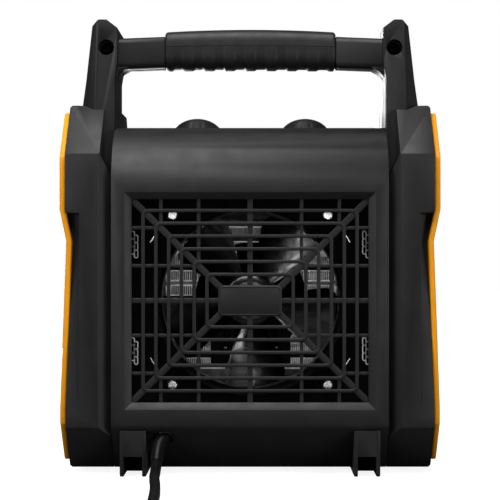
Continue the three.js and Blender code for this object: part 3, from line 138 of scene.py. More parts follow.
for lamp_name, place, aim, size, power in [
    ("overhead", (0.10, 0.42, 0.98), (0.0, 0.1, 0.22), 0.7, 12.0),
    ("high", (0.0, 1.25, 1.20), BODY_AIM, 0.8, 2.5),
    ("left", (1.10, 1.10, 0.30), BODY_AIM, 0.5, 4.5),
    ("right", (-1.10, 1.10, 0.30), BODY_AIM, 0.5, 6.0),
    ("shoulder", (1.05, 0.75, 0.95), BODY_AIM, 0.3, 3.0),
    ("low", (-1.35, 0.72, 0.14), (0.0, 0.07, 0.08), 0.25, 2.2),
    ("eye", (0.0, 1.50, 0.13), (0.0, 0.0, 0.12), 0.25, 0.8),
    ("front", (0.4, -1.5, 0.25), (0.0, 0.0, 0.15), 0.6, 18.0),
]:
    lamp_data = bpy.data.lights.new(lamp_name, "AREA")
    lamp_data.size = size
    lamp_data.energy = power
    lamp = new_object(lamp_name, lamp_data)
    lamp.location = place
    lamp.rotation_euler = (Vector(aim) - Vector(place)).to_track_quat("-Z", "Y").to_euler()
scene.view_settings.view_transform = "Standard"

# ---------------------------------------------------------------- mains cord
# A round black PVC cord, 7 mm across and about 1.8 m long. It leaves the strain relief, lies on the floor
# and is wound in a flat coil of two layers behind the heater, with its plug beside the coil.
CORD_RADIUS, CORD_LEVEL = 0.0035, 3.55
COIL_MIDDLE = Vector((0.0036, 0.373, 0.0))
LOW_LAYER, HIGH_LAYER = 0.0036, 0.0106
# Each lane of the coil starts at an angle, with a reach and a height, and is reached over LANE_CHANGE.
LANE_CHANGE, COIL_END, COIL_STEP = 60, 2160, 20
LANES = [
    (-LANE_CHANGE, 0.0514, LOW_LAYER), (270, 0.0444, LOW_LAYER), (630, 0.0374, LOW_LAYER),
    (990, 0.0304, LOW_LAYER), (1350, 0.0304, HIGH_LAYER), (1650, 0.0374, HIGH_LAYER),
    (1950, 0.0444, HIGH_LAYER),
]


def around(reach, turn):
    """The point on a circle about the origin at a turn in radians."""
    return reach * math.cos(turn), reach * math.sin(turn)


# The way is given in millimetres up to the coil, at CORD_LEVEL along the floor, and again on to the plug.
cord_way = [Vector(spot) / 1000 for spot in [
    (58.6, 97.3, 24.4), (60.3, 100.4, 21.9), (61.2, 104.4, 18.1), (61.6, 108.6, 14.0), (61.7, 112.9, 10.2),
    (61.8, 117.0, 8.0), (61.9, 121.4, 6.4), (61.9, 126.5, 5.0), (61.9, 131.8, 4.1), (61.7, 137.0, 3.7),
    *[(x, y, CORD_LEVEL) for x, y in [
        (61.4, 142.5), (60.4, 155), (59.2, 170), (58.0, 190), (57.0, 210), (56.2, 235), (55.6, 260),
        (55.2, 285), (55.0, 310), (55.0, 328), (55.0, 345.4), (55.0, 359)]],
]]
for angle in range(0, COIL_END + 1, COIL_STEP):
    lane = max(k for k, (start, _, _) in enumerate(LANES) if angle >= start)
    start, reach, height = LANES[lane]
    _, last_reach, last_height = LANES[max(lane - 1, 0)]
    part = min(1.0, (angle - start) / LANE_CHANGE)
    part = part * part * (3 - 2 * part)
    reach = last_reach + (reach - last_reach) * part
    height = last_height + (height - last_height) * part
    cord_way.append(COIL_MIDDLE + Vector((*around(reach, math.radians(angle)), height)))
cord_way += [Vector((48, y, z)) / 1000
             for y, z in [(384, 10.7), (394, 11.3), (404, 12.2), (413, 12.6), (420, 12.6)]]

cord_curve = bpy.data.curves.new("mains_cord_run", "CURVE")
cord_curve.dimensions = "3D"
cord_curve.bevel_depth = CORD_RADIUS
cord_curve.bevel_resolution = 3
cord_curve.use_fill_caps = True
cord_spline = cord_curve.splines.new("BEZIER")
cord_spline.bezier_points.add(len(cord_way) - 1)
for point, spot in zip(cord_spline.bezier_points, cord_way):
    point.co = spot
    point.handle_left_type = point.handle_right_type = "AUTO"
cord_spline.resolution_u = 5
cord = new_object("mains_cord_run", cord_curve)

# ---------------------------------------------------------------- casing halves
# The drum is moulded in black ABS in two halves, which meet in a seam halfway. The rear half holds the
# flared intake opening and the cord's hole, the front half the outlet and the slope of the controls.
CASING_EDGE = 0.0007


def glossy(name, inputs):
    """A new material with a glossy base shader; inputs is called with its tree and says what goes in."""
    material, tree = node_material(name)
    step(tree, "ShaderNodeOutputMaterial", {"Surface": step(tree, "ShaderNodeBsdfPrincipled", inputs(tree))})
    return material


def cloud(tree, scale, detail, stretch=(1.0, 1.0, 1.0)):
    """Noise over the piece's own coordinates, in specks of 1/scale metres, drawn out by a stretch."""
    place = step(tree, "ShaderNodeTexCoord").outputs["Object"]
    turn = step(tree, "ShaderNodeMapping", {"Vector": place, "Scale": stretch})
    return step(tree, "ShaderNodeTexNoise", {"Vector": turn, "Scale": scale, "Detail": detail}).outputs["Fac"]


def shades(tree, speck, dark, light, low=0.35, high=0.65):
    """Two colours mixed by specks of noise, between a low and a high level."""
    ramp = step(tree, "ShaderNodeValToRGB", {"Fac": speck})
    for stop, position, colour in zip(ramp.color_ramp.elements, (low, high), (dark, light)):
        stop.position = position
        stop.color = (*colour, 1.0)
    return ramp


def spread(tree, speck, low, high):
    """Noise from its middle range brought between two values, for roughness."""
    return step(tree, "ShaderNodeMapRange", {"Value": speck, "From Min": 0.3, "From Max": 0.7,
                                             "To Min": low, "To Max": high})


def relief(tree, speck, depth):
    """A surface raised by a height pattern of a given depth in metres."""
    return step(tree, "ShaderNodeBump", {"Height": speck, "Distance": depth})


def moulded_plastic(name, dark, light, rough, grain=1500.0, depth=0.00004, gloss=0.3):
    """Moulded plastic: cloudy in colour, with a fine spark-eroded grain and a few smoother patches."""
    return glossy(name, lambda tree: {
        "Specular IOR Level": gloss,
        "Base Color": shades(tree, cloud(tree, 45.0, 4.0), dark, light),
        "Roughness": spread(tree, cloud(tree, 90.0, 3.0), rough - 0.05, rough + 0.06),
        "Normal": relief(tree, cloud(tree, grain, 3.0), depth)})


def cad_copy(node):
    """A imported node's shape with its doubles merged and its flat areas joined into single faces."""
    shape = bmesh.new()
    shape.from_mesh(nodes[node].data)
    bmesh.ops.remove_doubles(shape, verts=shape.verts, dist=2e-6)
    bmesh.ops.dissolve_limit(shape, angle_limit=math.radians(0.5), verts=shape.verts, edges=shape.edges)
    return shape


def object_of(shape, name, finish):
    """A shape as a new object with one finish."""
    mesh = bpy.data.meshes.new(name)
    shape.to_mesh(mesh)
    shape.free()
    mesh.materials.clear()
    mesh.materials.append(finish)
    return new_object(name, mesh)


def plain_mesh(made):
    """An object's mesh as its modifiers leave it."""
    bpy.context.view_layer.update()
    return bpy.data.meshes.new_from_object(made.evaluated_get(bpy.context.evaluated_depsgraph_get()))


def settled(made, smooth=30.0):
    """Turns an object's modifiers into its plain mesh, shaded smooth but for edges past an angle."""
    mesh = plain_mesh(made)
    made.modifiers.clear()
    made.data = mesh
    mesh.shade_smooth()
    mesh.set_sharp_from_angle(angle=math.radians(smooth))
    return made


def eased(made, width, segments=2):
    """Rounds an object's sharp edges to a width, as a mould leaves them."""
    bevel = made.modifiers.new("eased", "BEVEL")
    bevel.width = width
    bevel.segments = segments
    bevel.limit_method = "ANGLE"
    bevel.angle_limit = math.radians(28)
    bevel.use_clamp_overlap = True
    bevel.harden_normals = True
    made.modifiers.new("even", "WEIGHTED_NORMAL").keep_sharp = True
    return made


def dress(made, body, slot, *replaced):
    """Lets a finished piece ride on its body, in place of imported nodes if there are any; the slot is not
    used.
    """
    if replaced:
        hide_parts(*replaced)
    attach(made, body)


def cad_piece(node, name, finish, slot, edge, segments=2, smooth=30.0, body="root"):
    """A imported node's own shape with its edges eased, if at all, and a finish, in the node's place."""
    made = object_of(cad_copy(node), name, finish)
    if edge:
        eased(made, edge, segments)
    dress(settled(made, smooth), body, slot, node)


casing_black = moulded_plastic("casing_black", (0.0082, 0.0082, 0.0085), (0.0104, 0.0104, 0.0108), 0.5)
for half in ("rear_casing", "front_casing"):
    cad_piece(half, half + "_shell", casing_black, "black_plastic", CASING_EDGE)

# ---------------------------------------------------------------- intake grille
# The guard over the intake is one black ABS moulding behind the casing wall: six rounded rings, four
# diagonals and a bare plate in front, thin cross bars behind them, and a border clipped to the wall.
RING_REAR, RING_FRONT, CROSS_FRONT = 0.0982, 0.0964, 0.0952
GUARD_MIDDLE = 0.11735
OPEN_HALF, OPEN_HALF_HEIGHT = 0.0793, 0.06805
RING_REACH, RING_PITCH, RING_COUNT = 0.00765, 0.00856, 6
PLATE_HALF = (0.0214, 0.0104)
DIAGONAL_START, DIAGONAL_END = 0.0195, 0.0815
COLUMNS, ROWS = (-0.0598, -0.0345, 0.0, 0.0345, 0.0598), (-0.0488, -0.02335, 0.0, 0.02335, 0.0488)
OVERLAP, BORDER = 0.001, 0.0035
# Turns about X that stand a flat drawing up, and that lay local z to the rear.
UPRIGHT, REARWARD = Matrix.Rotation(math.pi / 2, 4, "X"), Matrix.Rotation(-math.pi / 2, 4, "X")


def recipe(name, **sizes):
    """A geometry tree with inputs for its guide, each size and its finish; returns it, these and its step."""
    tree = bpy.data.node_groups.new(name, "GeometryNodeTree")
    tree.interface.new_socket("Geometry", in_out="OUTPUT", socket_type="NodeSocketGeometry")
    tree.interface.new_socket("Guide", in_out="INPUT", socket_type="NodeSocketGeometry")
    for label, value in sizes.items():
        kind = "NodeSocketInt" if isinstance(value, int) else "NodeSocketFloat"
        tree.interface.new_socket(label, in_out="INPUT", socket_type=kind).default_value = value
    tree.interface.new_socket("finish", in_out="INPUT", socket_type="NodeSocketMaterial")
    return tree, tree.nodes.new("NodeGroupInput").outputs, partial(step, tree)


def end_recipe(add, given, shape):
    """Ends a recipe: its instances are made real and take the finish."""
    real = add("GeometryNodeRealizeInstances", {"Geometry": shape})
    coated = add("GeometryNodeSetMaterial", {"Geometry": real, "Material": given["finish"]})
    add("NodeGroupOutput", {0: coated})


def rounded(add, line, count, radius):
    """A line with each corner rounded by a count of points."""
    return add("GeometryNodeFilletCurve", {"Curve": line, "Count": count, "Radius": radius,
                                           "Limit Radius": True}, mode="POLY")


def bar_along(add, line, width, depth, count, edge):
    """A bar swept upright along a line, with a rectangle with rounded corners as its section."""
    upright = add("GeometryNodeSetCurveNormal", {"Curve": line}, mode="Z_UP")
    section = add("GeometryNodeCurvePrimitiveQuadrilateral", {"Width": width, "Height": depth})
    soft = rounded(add, section, count, edge)
    return add("GeometryNodeCurveToMesh", {"Curve": upright, "Profile Curve": soft, "Fill Caps": True})


def grown(tree, guide, finish, place=None, **sizes):
    """Runs a recipe on a guide, a mesh or points and edges, and returns the plain mesh, set in place."""
    if not isinstance(guide, bpy.types.Mesh):
        points, edges = guide
        guide = bpy.data.meshes.new("guide")
        guide.from_pydata(points, edges, [])
    made = new_object("grown", guide)
    run = made.modifiers.new("recipe", "NODES")
    run.node_group = tree
    sizes["finish"] = finish
    for socket in tree.interface.items_tree:
        if socket.in_out == "INPUT" and socket.name in sizes:
            run[socket.identifier] = sizes[socket.name]
    mesh = plain_mesh(made)
    bpy.data.objects.remove(made)
    if place is not None:
        mesh.transform(place)
    return mesh


def welded(name, meshes, finish=None, smooth=35.0):
    """Joins plain meshes into one new object; a finish replaces theirs."""
    shape = bmesh.new()
    for mesh in meshes:
        shape.from_mesh(mesh)
    bmesh.ops.remove_doubles(shape, verts=shape.verts, dist=1e-6)
    made = object_of(shape, name, finish or meshes[0].materials[0])
    made.data.shade_smooth()
    made.data.set_sharp_from_angle(angle=math.radians(smooth))
    return made


# Sweeps a bar of rounded section along every edge of a flat guide, with rounded corners.
bar_tree, given, add = recipe("swept_bar", width=0.002, depth=0.002, corner=0.0, edge=0.0003)
line = add("GeometryNodeMeshToCurve", {0: given["Guide"]})
end_recipe(add, given, bar_along(add, rounded(add, line, 4, given["corner"]), given["width"], given["depth"],
                                 2, given["edge"]))


def black_bars(guide, place, width, depth, edge, corner=0.0):
    """Black bars along a guide, stood in place."""
    return grown(bar_tree, guide, casing_black, place, width=width, depth=depth, edge=edge, corner=corner)


def chain(points, closed=False):
    """A guide of edges from each point to the next, and back to the first if it is closed."""
    count = len(points)
    return points, [(k, (k + 1) % count) for k in range(count if closed else count - 1)]


def loop_guide(half_width, half_height, level, middle_y=0.0):
    """A flat rectangle as a guide."""
    return chain([(x * half_width, middle_y + y * half_height, level)
                  for x, y in ((-1, -1), (1, -1), (1, 1), (-1, 1))], True)


def strip_guide(strips):
    """Separate straight bars as a guide; each strip has its two ends."""
    return [end for strip in strips for end in strip], [(2 * k, 2 * k + 1) for k in range(len(strips))]


# The guides are drawn flat, x across and y up, and stood up to face the rear.
stand = Matrix.Translation((0.0, 0.0, GUARD_MIDDLE)) @ UPRIGHT
ring_level = -(RING_REAR + RING_FRONT) / 2
cross_level = -(RING_FRONT + CROSS_FRONT) / 2 - 0.0002
guard_parts = []
for k in range(RING_COUNT):
    reach = RING_REACH + k * RING_PITCH
    guard_parts.append(black_bars(loop_guide(OPEN_HALF - reach, OPEN_HALF_HEIGHT - reach, ring_level),
                                  stand, 0.0024, 0.0018, 0.0005, 0.0034))

slant = (OPEN_HALF_HEIGHT - PLATE_HALF[1]) / (OPEN_HALF - PLATE_HALF[0])


def diagonal_at(x):
    """The height of the diagonals above the grille's middle at a place across."""
    return PLATE_HALF[1] + (abs(x) - PLATE_HALF[0]) * slant


diagonals = [[(sx * x, sy * diagonal_at(x), ring_level) for x in (DIAGONAL_START, DIAGONAL_END)]
             for sx in (-1, 1) for sy in (-1, 1)]
guard_parts.append(black_bars(strip_guide(diagonals), stand @ Matrix.Translation((0.0, 0.0, 0.0006)),
                              0.0044, 0.0018, 0.0003))
columns = [[(x, side * y, cross_level) for y in (max(PLATE_HALF[1] - OVERLAP, diagonal_at(x)),
                                                 OPEN_HALF_HEIGHT + OVERLAP)]
           for x in COLUMNS for side in (-1, 1)]
rows = [[(side * x, y, cross_level) for x in (max(PLATE_HALF[0] - OVERLAP,
                                                  PLATE_HALF[0] + (abs(y) - PLATE_HALF[1]) / slant),
                                              OPEN_HALF + OVERLAP)]
        for y in ROWS for side in (-1, 1)]
for bars in (columns, rows):
    centre = [bar for bar in bars if 0.0 in bar[0][:2]]
    others = [bar for bar in bars if bar not in centre]
    guard_parts.append(black_bars(strip_guide(others), stand, 0.0024, 0.0013, 0.0004))
    guard_parts.append(black_bars(strip_guide(centre), stand, 0.0036, 0.0014, 0.0004))
guard_parts.append(black_bars(loop_guide(OPEN_HALF + BORDER, OPEN_HALF_HEIGHT + BORDER, ring_level + 0.0005),
                              stand, 2 * BORDER, 0.0028, 0.0005, 0.003))


def drawn_out(shape, faces, way):
    """A solid drawn out from a shape's flat faces by a vector."""
    raised = bmesh.ops.extrude_face_region(shape, geom=faces)["geom"]
    bmesh.ops.translate(shape, vec=way, verts=[v for v in raised if isinstance(v, bmesh.types.BMVert)])
    bmesh.ops.recalc_face_normals(shape, faces=shape.faces)
    return shape


def rounded_box(half_x, half_y, radius, low, high, steps=5):
    """A flat plate with rounded corners between two levels of local z."""
    shape = bmesh.new()
    ring = []
    for k in range(4 * (steps + 1)):
        corner, part = divmod(k, steps + 1)
        x, y = around(radius, math.radians(90 * corner + 90 * part / steps))
        x += (half_x - radius) * (1 if corner in (0, 3) else -1)
        y += (half_y - radius) * (1 if corner in (0, 1) else -1)
        ring.append(shape.verts.new((x, y, low)))
    return drawn_out(shape, [shape.faces.new(ring)], (0, 0, high - low))


plate = settled(eased(object_of(rounded_box(*PLATE_HALF, 0.0036, -RING_REAR - 0.0005, -RING_FRONT),
                                "plate", casing_black), 0.0008, 3))
plate.data.transform(stand)
guard_parts.append(plate.data)
bpy.data.objects.remove(plate)
guard_parts.append(black_bars(loop_guide(PLATE_HALF[0] - 0.0011, PLATE_HALF[1] - 0.0011, -RING_REAR - 0.0004),
                              stand, 0.0007, 0.0007, 0.0002, 0.0028))
dress(welded("intake_guard", guard_parts), "root", "black_plastic", "intake_grille")

# ---------------------------------------------------------------- outlet grille
# The warm air leaves through louvres of glass-filled black nylon. They lean inwards and downwards and
# overlap, so that no straight way leads to the heating block; three uprights hold them from behind.
LOUVRE_LOW, LOUVRE_PITCH, LOUVRE_COUNT = 0.048, 0.0094846, 13
LOUVRE_HALF, LOUVRE_FRONT, LOUVRE_LEAN = 0.0065, -0.0979, math.radians(42)


def row_of(add, given, axis, one):
    """Copies of one shape in a row along an axis, by the recipe's own pitch and count."""
    offset = add("ShaderNodeCombineXYZ", {axis: given["pitch"]})
    places = add("GeometryNodeMeshLine", {"Count": given["count"], "Offset": offset})
    return add("GeometryNodeInstanceOnPoints", {"Points": places, "Instance": one})


# Leaning slats along X, one above the other.
louvre_tree, given, add = recipe("louvres", length=0.16, depth=0.013, thick=0.002, pitch=0.009, count=13,
                                 lean=0.7, edge=0.0009)
half_run = add("ShaderNodeMath", {0: given["length"], 1: 0.5}, operation="MULTIPLY")
far_end = add("ShaderNodeCombineXYZ", {"X": half_run})
near_end = add("ShaderNodeVectorMath", {0: far_end, 1: (-1.0, 1.0, 1.0)}, operation="MULTIPLY")
run_line = add("GeometryNodeCurvePrimitiveLine", {"Start": near_end, "End": far_end})
slat = bar_along(add, run_line, given["depth"], given["thick"], 3, given["edge"])
slat_turn = add("ShaderNodeCombineXYZ", {"X": given["lean"]})
leant = add("GeometryNodeTransform", {"Geometry": slat, "Rotation": slat_turn})
end_recipe(add, given, row_of(add, given, "Z", leant))

first_slat = (0.0, LOUVRE_FRONT + LOUVRE_HALF * math.cos(LOUVRE_LEAN),
              LOUVRE_LOW + LOUVRE_PITCH - LOUVRE_HALF * math.sin(LOUVRE_LEAN))
posts = [((x, 0.045, 0.0895), (x, 0.1745, 0.0895)) for x in (-0.0397, 0.0, 0.0397)]
outlet_parts = [grown(louvre_tree, ([(0.0, 0.0, 0.0)], []), casing_black, Matrix.Translation(first_slat),
                      length=0.1604, depth=2 * LOUVRE_HALF, thick=0.0022, pitch=LOUVRE_PITCH,
                      count=LOUVRE_COUNT, lean=-LOUVRE_LEAN),
                black_bars(strip_guide(posts), UPRIGHT, 0.0022, 0.0030, 0.0005),
                black_bars(loop_guide(0.0823, 0.0646, 0.0967, 0.10965), UPRIGHT, 0.006, 0.003, 0.0004, 0.002)]
dress(welded("outlet_louvres", outlet_parts), "root", "black_plastic", "outlet_grille")

# ---------------------------------------------------------------- side frames
# Each side of the drum is clasped by a hollow black ABS frame with a groove beside the drum, a scoop
# behind the edge of the cover and a pocket that takes the handle's post.
for side in ("left", "right"):
    cad_piece("side_frame_" + side, "flank_frame_" + side, casing_black, "black_plastic", 0.0009)

# ---------------------------------------------------------------- side covers
# Faceted plates of satin orange ABS clip onto the frames. Their rims are chamfered and they stand off
# the black frame by a thin shadow gap.
COVER_RIM = 0.0013

cover_orange = moulded_plastic("cover_orange", (0.76, 0.285, 0.004), (0.83, 0.325, 0.006), 0.42, 1100.0,
                               0.00003, 0.15)
for side in ("left", "right"):
    cad_piece("side_cover_" + side, "flank_cover_" + side, cover_orange, "orange_plastic", COVER_RIM, 3, 40.0)

# ---------------------------------------------------------------- handle
# Two posts and the bar between them are moulded in black ABS in a rear and a front half. The posts' outer
# corners are cut back, and the bar drops a little towards its ends.
HANDLE_EDGE, HANDLE_MIDDLE_Y = 0.0012, 0.035
CUT_FOOT, CUT_NORMAL = Vector((0.1071, 0.0672, 0.251)), Vector((1.0, 1.0, 0.0276))
BAR_END_DROP, BAR_RISE_START, BAR_RISE_END, BAR_FLOOR = 0.0013, 0.060, 0.0925, 0.268

for half in ("rear", "front"):
    shape = cad_copy(f"handle_{half}_half")
    for corner in shape.verts:
        if BAR_RISE_START < abs(corner.co.x) < BAR_RISE_END and corner.co.z > BAR_FLOOR:
            past = (abs(corner.co.x) - BAR_RISE_START) / (BAR_RISE_END - BAR_RISE_START)
            corner.co.z -= BAR_END_DROP * past
    for side in (1, -1):
        for end in (1, -1):
            foot_y = HANDLE_MIDDLE_Y + end * (CUT_FOOT.y - HANDLE_MIDDLE_Y)
            split = bmesh.ops.bisect_plane(shape, geom=shape.verts[:] + shape.edges[:] + shape.faces[:],
                                           dist=1e-7, plane_co=(side * CUT_FOOT.x, foot_y, CUT_FOOT.z),
                                           plane_no=(side * CUT_NORMAL.x, end * CUT_NORMAL.y, CUT_NORMAL.z),
                                           clear_outer=True)
            rim = [e for e in split["geom_cut"] if isinstance(e, bmesh.types.BMEdge)]
            bmesh.ops.edgenet_fill(shape, edges=rim)
    bmesh.ops.recalc_face_normals(shape, faces=shape.faces)
    handle = eased(object_of(shape, f"handle_{half}", casing_black), HANDLE_EDGE)
    dress(settled(handle), "root", "black_plastic", f"handle_{half}_half")

# ---------------------------------------------------------------- handle screws
# Two pan-head screws of steel lacquered black, with a cross recess; their colour is near black with almost no
# sheen, partly painted shade of the deep holes. Each is sunk in the rear of a post and draws the two halves of
# the handle together.
SCREW_REAR, SCREW_HEIGHT = 0.0585, 0.2908


def share(add, size, factor, more=0.0):
    """A share of a size with a length added to it."""
    return add("ShaderNodeMath", {0: size, 1: factor, 2: more}, operation="MULTIPLY_ADD")


def lifted(add, shape, height):
    """A shape moved up by a height."""
    return add("GeometryNodeTransform", {"Geometry": shape,
                                         "Translation": add("ShaderNodeCombineXYZ", {"Z": height})})


def at_spots(add, given, one, turn=(0.0, 0.0, 0.0)):
    """One shape at every point of the guide, each with its own turn."""
    spots = add("GeometryNodeMeshToPoints", {"Mesh": given["Guide"]})
    return add("GeometryNodeInstanceOnPoints", {"Points": spots, "Instance": one, "Rotation": turn})


# One screw along +Z with its seat at the origin, set at every point of the guide with its own turn.
screw_tree, given, add = recipe("cross_screw", head=0.0044, height=0.0025, shank=0.0019, length=0.02,
                                span=0.0050, blade=0.0011, sunk=0.0016, seed=3)
neck, half_height = share(add, given["head"], 0.96), share(add, given["height"], 0.5)
rim = add("GeometryNodeMeshCone", {"Vertices": 28, "Radius Bottom": given["head"], "Radius Top": neck,
                                   "Depth": half_height})
dome = add("GeometryNodeMeshCone", {"Vertices": 28, "Radius Bottom": neck, "Depth": half_height,
                                    "Radius Top": share(add, given["head"], 0.66)})
shank = add("GeometryNodeMeshCylinder", {"Vertices": 14, "Radius": given["shank"], "Depth": given["length"]})
solids = [rim, lifted(add, dome, half_height), lifted(add, shank, share(add, given["length"], -0.5, 0.0003))]
body = add("GeometryNodeMeshBoolean", {"Mesh 2": solids}, operation="UNION", solver="EXACT")
wings = []
for long_side, short_side in (("span", "blade"), ("blade", "span")):
    size = add("ShaderNodeCombineXYZ", {"X": given[long_side], "Y": given[short_side],
                                        "Z": share(add, given["sunk"], 2.0)})
    wings.append(lifted(add, add("GeometryNodeMeshCube", {"Size": size}), given["height"]))
recessed = add("GeometryNodeMeshBoolean", {"Mesh 1": body, "Mesh 2": wings}, operation="DIFFERENCE",
               solver="EXACT")
turn = add("FunctionNodeRandomValue", {"Min": (0.0, 0.0, 0.0), "Max": (0.0, 0.0, 1.5), "Seed": given["seed"]},
           data_type="FLOAT_VECTOR")
end_recipe(add, given, at_spots(add, given, recessed, turn))


def screws(name, seats, finish, **sizes):
    """Screws whose heads face the rear, seated at the given places."""
    seats = [(x, -z, y) for x, y, z in seats]
    return welded(name, [grown(screw_tree, (seats, []), finish, REARWARD, **sizes)], finish, 28.0)


# Black lacquer plus painted shade: near black with almost no sheen, as the screws sit deep in their holes.
black_screw = moulded_plastic("blackened_screw", (0.001, 0.001, 0.001), (0.002, 0.002, 0.002), 0.6, 700.0,
                              0.00001, 0.05)
for side, x, seed in (("left", 0.09905, 5), ("right", -0.09905, 8)):
    fixing = screws("post_screw_" + side, [(x, SCREW_REAR, SCREW_HEIGHT)], black_screw, head=0.0042,
                    height=0.003, shank=0.0016, length=0.0478, span=0.0052, blade=0.0011, sunk=0.0019,
                    seed=seed)
    dress(fixing, "root", "steel", "handle_screw_" + side)

# ---------------------------------------------------------------- grip
# Two shells of soft black rubber close around the waist of the bar and meet in a seam above its middle.
# Shallow bands run across them, hardly raised on top and deeper under the fingers.
GRIP_HALF, GRIP_MIDDLE_Y = 0.0592, 0.0415
GRIP_LOW, GRIP_HIGH, GRIP_SEAM = 0.2777, 0.3037, 0.2926
BAND_PITCH, GRIP_CROWN = 0.0145, 0.0018
GRIP_HALF_DEEP, GRIP_WALL = 0.0153, 0.0093


def soft_rubber(name, dark, light, rough, grain, depth, gloss=0.3):
    """Rubber or soft PVC: cloudy, matt, with a fine skin and a faint sheen."""
    return glossy(name, lambda tree: {
        "Sheen Weight": 0.02, "Specular IOR Level": gloss,
        "Base Color": shades(tree, cloud(tree, 60.0, 4.0), dark, light),
        "Roughness": spread(tree, cloud(tree, 140.0, 2.0), rough - 0.05, rough + 0.07),
        "Normal": relief(tree, cloud(tree, grain, 2.0), depth)})


def squircle(turn, power):
    """The point on a rounded square of half width 1 at a turn in radians."""
    return [math.copysign(abs(part) ** (2 / power), part) for part in around(1.0, turn)]


def grip_section(along, upper):
    """Half of the grip's section at a place along it: the outer skin one way, the waist's wall back."""
    way = 1 if upper else -1
    crown = GRIP_CROWN * (1 - (along / GRIP_HALF) ** 2)
    wave = math.sin(2 * math.pi * along / BAND_PITCH + math.pi / 2)
    band = max(-1.0, min(1.0, 3.2 * wave))
    end = max(0.0, abs(along) - (GRIP_HALF - 0.0018)) / 0.0018
    seam = GRIP_SEAM + 0.35 * crown + way * 0.00012
    reach = GRIP_HIGH + crown - seam if upper else seam - (GRIP_LOW + 0.15 * crown)
    outer = []
    for k in range(25):
        y, z = squircle(math.pi * k / 24, 3.4)
        z = abs(z)
        swell = (0.00010 * (1 - z) if upper else 0.00012 + 0.00035 * z) * band - 0.0014 * end * end
        outer.append((GRIP_MIDDLE_Y + (GRIP_HALF_DEEP + swell) * y, seam + way * (reach + swell) * z))
    top = 0.2968 if upper else 0.2826
    return outer + [(GRIP_MIDDLE_Y + side * GRIP_WALL, z)
                    for side, z in ((-1, seam), (-1, top), (1, top), (1, seam))]


def lofted(sections):
    """A closed skin over sections, each a ring of (x, y, z) points with the same count."""
    shape = bmesh.new()
    rings = [[shape.verts.new(spot) for spot in ring] for ring in sections]
    count = len(rings[0])
    for ring, after in zip(rings, rings[1:]):
        for k in range(count):
            shape.faces.new((ring[k], ring[(k + 1) % count], after[(k + 1) % count], after[k]))
    shape.faces.new(rings[0][::-1])
    shape.faces.new(rings[-1])
    bmesh.ops.recalc_face_normals(shape, faces=shape.faces)
    return shape


grip_black = soft_rubber("grip_black", (0.006, 0.006, 0.0062), (0.0085, 0.0085, 0.0088), 0.48, 1700.0, 0.00005)
stations = [-GRIP_HALF + 2 * GRIP_HALF * k / 164 for k in range(165)]
stations = sorted(stations + [s * (GRIP_HALF - 0.0005 * j) for s in (-1, 1) for j in (1, 2, 3)])
for name, upper, node in (("grip_top", True, "grip_upper"), ("grip_bottom", False, "grip_lower")):
    shell = lofted([[(x, y, z) for y, z in grip_section(x, upper)] for x in stations])
    dress(settled(object_of(shell, name, grip_black), 50.0), "root", "grip_rubber", node)

# ---------------------------------------------------------------- fan shroud
# A black ABS partition closes the rear chamber around the fan; its near-black colour with almost no sheen is
# painted shade of the deep chamber. Its throat flares to a rolled lip, and four standoffs at the corners carry
# it on the heating duct.
FAN_AXIS = 0.11735
THROAT, THROAT_WALL = 0.0615, 0.0020
PARTITION_FRONT, PARTITION_REAR = 0.0735, 0.0755
SCREW_SPOTS = [(sx * 0.05284, FAN_AXIS + sz * 0.05794) for sx in (1, -1) for sz in (1, -1)]
face_rear = Matrix.Translation((0.0, 0.0, FAN_AXIS)) @ REARWARD


def turned(outline, sides, place=None):
    """A lathe shape: outline holds (radius, height) along local z, and closes on the axis or on itself."""
    shape = bmesh.new()
    closed = outline[0][0] > 0
    rings = []
    for radius, height in outline:
        if radius == 0:
            rings.append([shape.verts.new((0.0, 0.0, height))])
            continue
        rings.append([shape.verts.new((radius * math.cos(2 * math.pi * k / sides),
                                       radius * math.sin(2 * math.pi * k / sides), height))
                      for k in range(sides)])
    pairs = list(zip(rings, rings[1:] + rings[:1]))
    for one, two in pairs if closed else pairs[:-1]:
        for k in range(sides):
            after = (k + 1) % sides
            corners = [one[k % len(one)], one[after % len(one)], two[after % len(two)], two[k % len(two)]]
            shape.faces.new(list(dict.fromkeys(corners)))
    bmesh.ops.recalc_face_normals(shape, faces=shape.faces)
    if place is not None:
        shape.transform(place)
    return shape


def flat_sheet(loops, spot, way):
    """A sheet drawn out by a vector, from an outline and holes of pairs that spot sets in space."""
    shape = bmesh.new()
    edges = []
    for loop in loops:
        ring = [shape.verts.new(spot(*pair)) for pair in loop]
        edges += [shape.edges.new((one, two)) for one, two in zip(ring, ring[1:] + ring[:1])]
    filled = bmesh.ops.triangle_fill(shape, edges=edges, use_beauty=True)
    return drawn_out(shape, [f for f in filled["geom"] if isinstance(f, bmesh.types.BMFace)], way)


def ring_of(radius, sides, middle=(0.0, FAN_AXIS)):
    """A circle as pairs."""
    spots = [around(radius, 2 * math.pi * k / sides) for k in range(sides)]
    return [(middle[0] + x, middle[1] + y) for x, y in spots]


def meshed(shape, place=None):
    """A shape as a plain mesh, set in place, to be welded with others."""
    mesh = bpy.data.meshes.new("part")
    shape.to_mesh(mesh)
    shape.free()
    if place is not None:
        mesh.transform(place)
    return mesh


